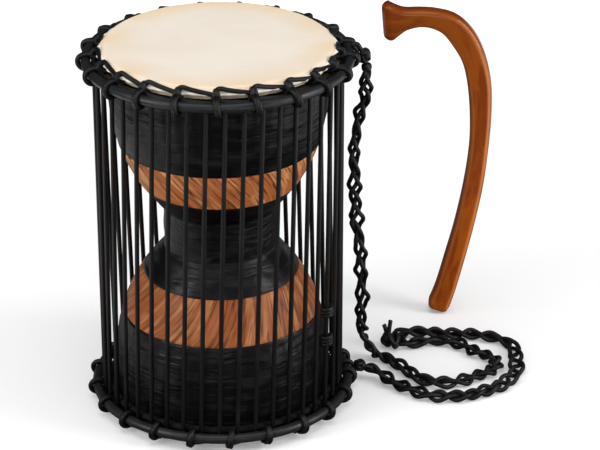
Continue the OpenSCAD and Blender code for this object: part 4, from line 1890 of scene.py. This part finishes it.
# ---------------------------------------------------------------- beater
@dataclass
class Beater:
    """The hooked stick with its flared striking face.

    A station gives the place to the right of the foot, the share of the height and the width; a
    row of the nose gives the place, the width and how much thinner it is front to back.
    """

    finishes: Finishes
    height: float = 280.5
    depth: float = 15.0
    foot: tuple[float, float] = (178.5, 134.0)
    round_r: float = 5.0
    foot_round_r: float = 4.4
    corner_points: int = 9
    first: Point = (-0.1, 0.009, 16.6)
    stations: Sequence[Point] = (
        (1.7, 0.0291, 18.3), (6.9, 0.0866, 17.5), (13.7, 0.1849, 17.1), (20.8, 0.2949, 16.5),
        (27.3, 0.423, 16.4), (31, 0.5481, 16), (31.6, 0.6507, 17.7), (29.7, 0.7466, 19.4),
        (24.6, 0.8246, 19.6), (15.5, 0.8876, 20.8), (4.7, 0.9285, 18.9), (-8, 0.9467, 16),
        (-19.9, 0.9509, 15.4), (-30.6, 0.9466, 17.8), (-37, 0.9432, 23.9), (-43.2, 0.9400, 32.2),
    )
    nose: Sequence[Point] = (
        (-44.5, 32.5, 0.2), (-45.8, 32.0, 0.6), (-47.1, 31.0, 1.2), (-48.2, 29.4, 2.0),
        (-49.1, 27.6, 3.0), (-49.6, 24.8, 4.1), (-49.85, 21.4, 5.4),
    )
    foot_softening: Sequence[Point] = ((3.2, -0.3), (2.0, -0.1), (1.0, 0.35), (0.3, 1.2))

    def rows(self) -> np.ndarray:
        """Place, height share and width of every row of the stick, from the foot to the nose."""
        nose = [(x, 0.94 - 0.0003 * (-43.4 - x), width) for x, width, _ in self.nose]
        return np.array([self.first, *spline(self.stations, 8), *nose])

    def corners(self) -> np.ndarray:
        """Points round a section with rounded corners.

        Returns:
            The two signs of each point's corner, and the cosine and sine of its turn, as columns.
        """
        points = []
        for quarter, signs in enumerate(((1, 1), (-1, 1), (-1, -1), (1, -1))):
            for a in np.radians(90 * quarter + np.linspace(0, 90, self.corner_points)):
                points.append((*signs, math.cos(a), math.sin(a)))
        return np.array(points).T

    def section(self, width: float, shrink: float, thin: float) -> tuple[np.ndarray, np.ndarray]:
        """One section across the stick.

        Args:
            width: Its width.
            shrink: How far it is drawn in all round, which only the foot's sections are.
            thin: How far it is drawn in at its front and back besides.

        Returns:
            Places across the stick and from front to back.
        """
        half_w, half_d = width / 2 - shrink, self.depth / 2 - shrink - thin
        most = self.foot_round_r if shrink else self.round_r
        corner = max(0.5, min(most, half_w - 0.5, half_d - 0.5) - shrink * 0.3)
        across, through, cosine, sine = self.corners()
        u = across * (half_w - corner) + corner * cosine
        v = through * (half_d - corner) + corner * sine
        return u, v

    def edge(self, shrink: float, thin: float) -> np.ndarray:
        """Where painted shade and a painted highlight lie, round one section.

        Args:
            shrink: How far the section is drawn in all round.
            thin: How far it is drawn in at its front and back besides.

        Returns:
            Above 0 for painted shade on the flanks and the softened ends, and below 0 for the
            painted highlight on the rounded corners.
        """
        across, _, cosine, _ = self.corners()
        cosine = np.abs(cosine)
        # painted highlight on the rounded corners, stronger on the outer side
        rubbed_and_highlight = np.where(across > 0, 0.8, 0.5) * np.exp(-(((cosine - 0.5) / 0.25) ** 2))
        # painted shade where the flanks turn away, less the painted highlight
        flank = 0.5 * ramp(cosine, 0.84, 0.14) - rubbed_and_highlight
        # painted shade on the softened ends
        tip = min(0.8, shrink * 0.5 + thin * 0.1)
        return np.maximum(flank, tip) if tip > 0 else flank

    def sections(self, last: int) -> list[tuple[int, float, float, float]]:
        """The stick's sections, from the foot to the nose.

        Args:
            last: Number of the last row before the nose.

        Returns:
            Number of the row, and how far the section is drawn in, moved on and thinned.
        """
        rows = [(0, shrink, push, 0.0) for shrink, push in self.foot_softening]
        rows += [(i, 0.0, 0.0, 0.0) for i in range(1, last + 1)]
        return rows + [(last + 1 + i, 0.0, 0.0, row[2]) for i, row in enumerate(self.nose)]

    def build(self) -> None:
        """Builds the stick with softened ends, its grain coordinates and its finish."""
        rows = self.rows()
        mids = np.stack([self.foot[0] + rows[:, 0], rows[:, 1] * self.height], axis=1)
        run, ahead = run_along(mids), ahead_of(mids)
        places, grain, edge = [], [], []
        for i, shrink, push, thin in self.sections(len(rows) - 1 - len(self.nose)):
            u, v = self.section(rows[i][2], shrink, thin)
            mid = mids[i] + ahead[i] * push
            x, z = mid[0] + ahead[i][1] * u, mid[1] - ahead[i][0] * u
            places.append(np.stack([x, self.foot[1] + v, z], axis=1))
            grain.append(np.stack([run[i] + push + 0 * u, u, v], axis=1) * MM)
            edge.append(self.edge(shrink, thin))
        faces = tube_faces(len(places), len(edge[0]))
        verts = np.concatenate(places)
        piece = make_object("beater_stick", verts, faces, self.finishes.beater)
        mend(piece, merge_m=0.02 * MM)
        tree = KDTree(len(verts))
        for i, place in enumerate(verts * MM):
            tree.insert(Vector(place), i)
        tree.balance()
        near = [tree.find(vertex.co)[1] for vertex in piece.data.vertices]
        store(piece, "grain", np.concatenate(grain)[near])
        # painted shade above 0 and painted highlight below 0, read by the finish
        store(piece, "edge", np.concatenate(edge)[near])
        mend(piece)
        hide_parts("beater")
        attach(piece, Body.BEATER.value)


# ---------------------------------------------------------------- construction kept as it is
@dataclass
class KeptNodes:
    """Construction nodes whose own shape is shown, with their finishes."""

    finishes: Finishes

    def build(self, nodes: dict[str, bpy.types.Object]) -> None:
        """Dresses the rings and the flesh hoops.

        Args:
            nodes: The construction's nodes by name.
        """
        for name, material, slot in (
            ("top_ring", self.finishes.ring, Slot.RING),
            ("bottom_ring", self.finishes.ring, Slot.RING),
            ("top_flesh_hoop", self.finishes.cane, Slot.CANE),
            ("bottom_flesh_hoop", self.finishes.cane, Slot.CANE),
        ):
            node = nodes[name]
            node.data.materials.clear()
            node.data.materials.append(material)


# ---------------------------------------------------------------- camera, light, floor
@dataclass(frozen=True)
class SoftBox:
    """A rectangular white light; its place, aim and size are metres and its power is watts."""

    name: str
    place: Point
    aim: Point
    size: tuple[float, float]
    power: float

    def hang(self) -> None:
        """Adds the light, turned to its aim."""
        data = bpy.data.lights.new(self.name, "AREA")
        data.shape = "RECTANGLE"
        data.size, data.size_y = self.size
        data.energy = self.power
        light = bpy.data.objects.new(self.name, data)
        light.location = self.place
        way = Vector(self.aim) - Vector(self.place)
        light.rotation_euler = way.to_track_quat("-Z", "Y").to_euler()
        bpy.context.scene.collection.objects.link(light)


@dataclass
class Studio:
    """The photograph's camera, a white floor and soft light.

    The camera sees white. Mirror rays see a dark room with two bright fields on the floor, as the
    varnish, the stain and the rope show it.
    """

    lens: float = 155.52
    place: Point = (0.062, -1.820, 1.025)
    pitch: float = 25.8
    room: float = 0.42
    mirrored: float = 0.05
    floor_glow: float = 0.2
    floor_half: float = 6000.0
    floor_z: float = -0.3
    paper: str = "#F2F2F2"
    cards: float = 1.05
    boxes: tuple[SoftBox, ...] = (
        SoftBox("left box", (-1.5, -0.9, 1.0), (0.0, 0.0, 0.16), (0.7, 1.3), 16.0),
        SoftBox("right box", (1.7, -0.45, 0.85), (0.05, 0.0, 0.16), (0.7, 1.3), 19.0),
        SoftBox("front", (0.1, -2.6, 0.9), (0.0, 0.0, 0.16), (1.6, 0.8), 8.0),
        SoftBox("top", (-0.1, -0.5, 2.0), (0.0, 0.0, 0.2), (1.6, 1.2), 12.0),
    )

    def camera(self) -> None:
        """Places the camera that was fitted to the photograph."""
        data = bpy.data.cameras.new("camera")
        data.sensor_width = 36.0
        data.lens = self.lens
        data.clip_start, data.clip_end = 0.05, 30.0
        camera = bpy.data.objects.new("camera", data)
        camera.location = self.place
        camera.rotation_euler = (math.radians(90 - self.pitch), 0, 0)
        bpy.context.scene.collection.objects.link(camera)
        bpy.context.scene.camera = camera

    def rays(self, tree: bpy.types.NodeTree) -> tuple[bpy.types.NodeSocket, bpy.types.NodeSocket]:
        """Tells the rays that look at the background from those that mirror it.

        Args:
            tree: The node tree.

        Returns:
            1 for rays of the camera and through glass, and 1 for mirror rays.
        """
        seen = add(tree, "ShaderNodeLightPath", out="Is Camera Ray")
        rays = seen.node.outputs
        return add(tree, Kind.LARGER, seen, rays["Is Transmission Ray"]), rays["Is Glossy Ray"]

    def surroundings(self) -> None:
        """White for the camera, and dimmer for the light that falls on the object."""
        world = bpy.data.worlds.new("white_room")
        bpy.context.scene.world = world
        world.use_nodes = True
        tree = world.node_tree
        tree.nodes.clear()
        seen, mirror = self.rays(tree)
        level = add(tree, Kind.TIMES_PLUS, mirror, self.mirrored - self.room, self.room)
        level = add(tree, Kind.TIMES_PLUS, seen, 1.0 - self.room, level)
        sky = add(tree, "ShaderNodeBackground", {"Color": linear(WHITE), "Strength": level})
        add(tree, "ShaderNodeOutputWorld", {"Surface": sky})

    def paper_material(self) -> bpy.types.Material:
        """Matt white paper that grows brighter with the distance, and its bright fields.

        Returns:
            The floor's material.
        """
        material = blank_material("paper_floor")
        tree = material.node_tree
        seen, mirror = self.rays(tree)
        where = add(tree, "ShaderNodeTexCoord", out="Object")
        across, _, _ = add(tree, Kind.PARTS, where)
        away = add(tree, Kind.LENGTH, where)
        matt = add(tree, "ShaderNodeBsdfDiffuse", {"Color": linear(self.paper)})
        glow = add(tree, Kind.EASE, away, 0.35, 1.6, self.floor_glow, 1.0)
        lit = add(tree, Kind.GLOW, linear(WHITE), add(tree, Kind.TIMES, seen, glow))
        paper = add(tree, "ShaderNodeAddShader", matt, lit)
        left = add(tree, Kind.EASE, across, -0.32, -0.12, self.cards, 0.0)
        left = add(tree, Kind.TIMES, left, add(tree, Kind.EASE, away, 0.5, 0.85, 1.0, 0.0))
        right = add(tree, Kind.EASE, across, 0.36, 0.5, 0.0, self.cards)
        shine = add(tree, Kind.PLUS, add(tree, Kind.PLUS, left, right), 0.08)
        fields = add(tree, Kind.GLOW, linear(WHITE), shine)
        shown = add(tree, "ShaderNodeMixShader", mirror, paper, fields)
        add(tree, "ShaderNodeOutputMaterial", {"Surface": shown})
        return material

    def build(self) -> None:
        """Makes the surroundings, the floor and the lights."""
        bpy.context.scene.view_settings.view_transform = "Standard"
        self.surroundings()
        signs = ((-1, -1), (1, -1), (1, 1), (-1, 1))
        corners = [(self.floor_half * x, self.floor_half * y, self.floor_z) for x, y in signs]
        paper = self.paper_material()
        make_object("paper_floor", corners, [(0, 1, 2, 3)], paper, smooth=False)
        for box in self.boxes:
            box.hang()


# ---------------------------------------------------------------- whole
def main() -> None:
    """Builds every piece in order and logs each one."""
    logging.basicConfig(level=logging.INFO, format="%(name)s: %(message)s")
    size = DrumSize()
    studio = Studio()
    studio.camera()
    finishes = Finishes()
    rope = RopeMaker(finishes.rope, size)
    steps = [
        ("strap", Strap(size, rope).build),
        ("shell", Shell(size, finishes).build),
        ("upper head", Head(size, True, finishes).build),
        ("lower head", Head(size, False, finishes).build),
        ("upper lacing", Lacing(size, True, rope).build),
        ("lower lacing", Lacing(size, False, rope).build),
        ("tension cords", TensionCords(size, rope).build),
        ("tied ends", TensionCords(size, rope).tie_offs),
        ("beater", Beater(finishes).build),
    ]
    for name, build in steps:
        build()
        LOG.info("%s built", name)
    KeptNodes(finishes).build(frame["nodes"])
    LOG.info("rings and flesh hoops dressed")
    studio.build()
    bpy.context.view_layer.update()


if __name__ == "__main__":
    main()
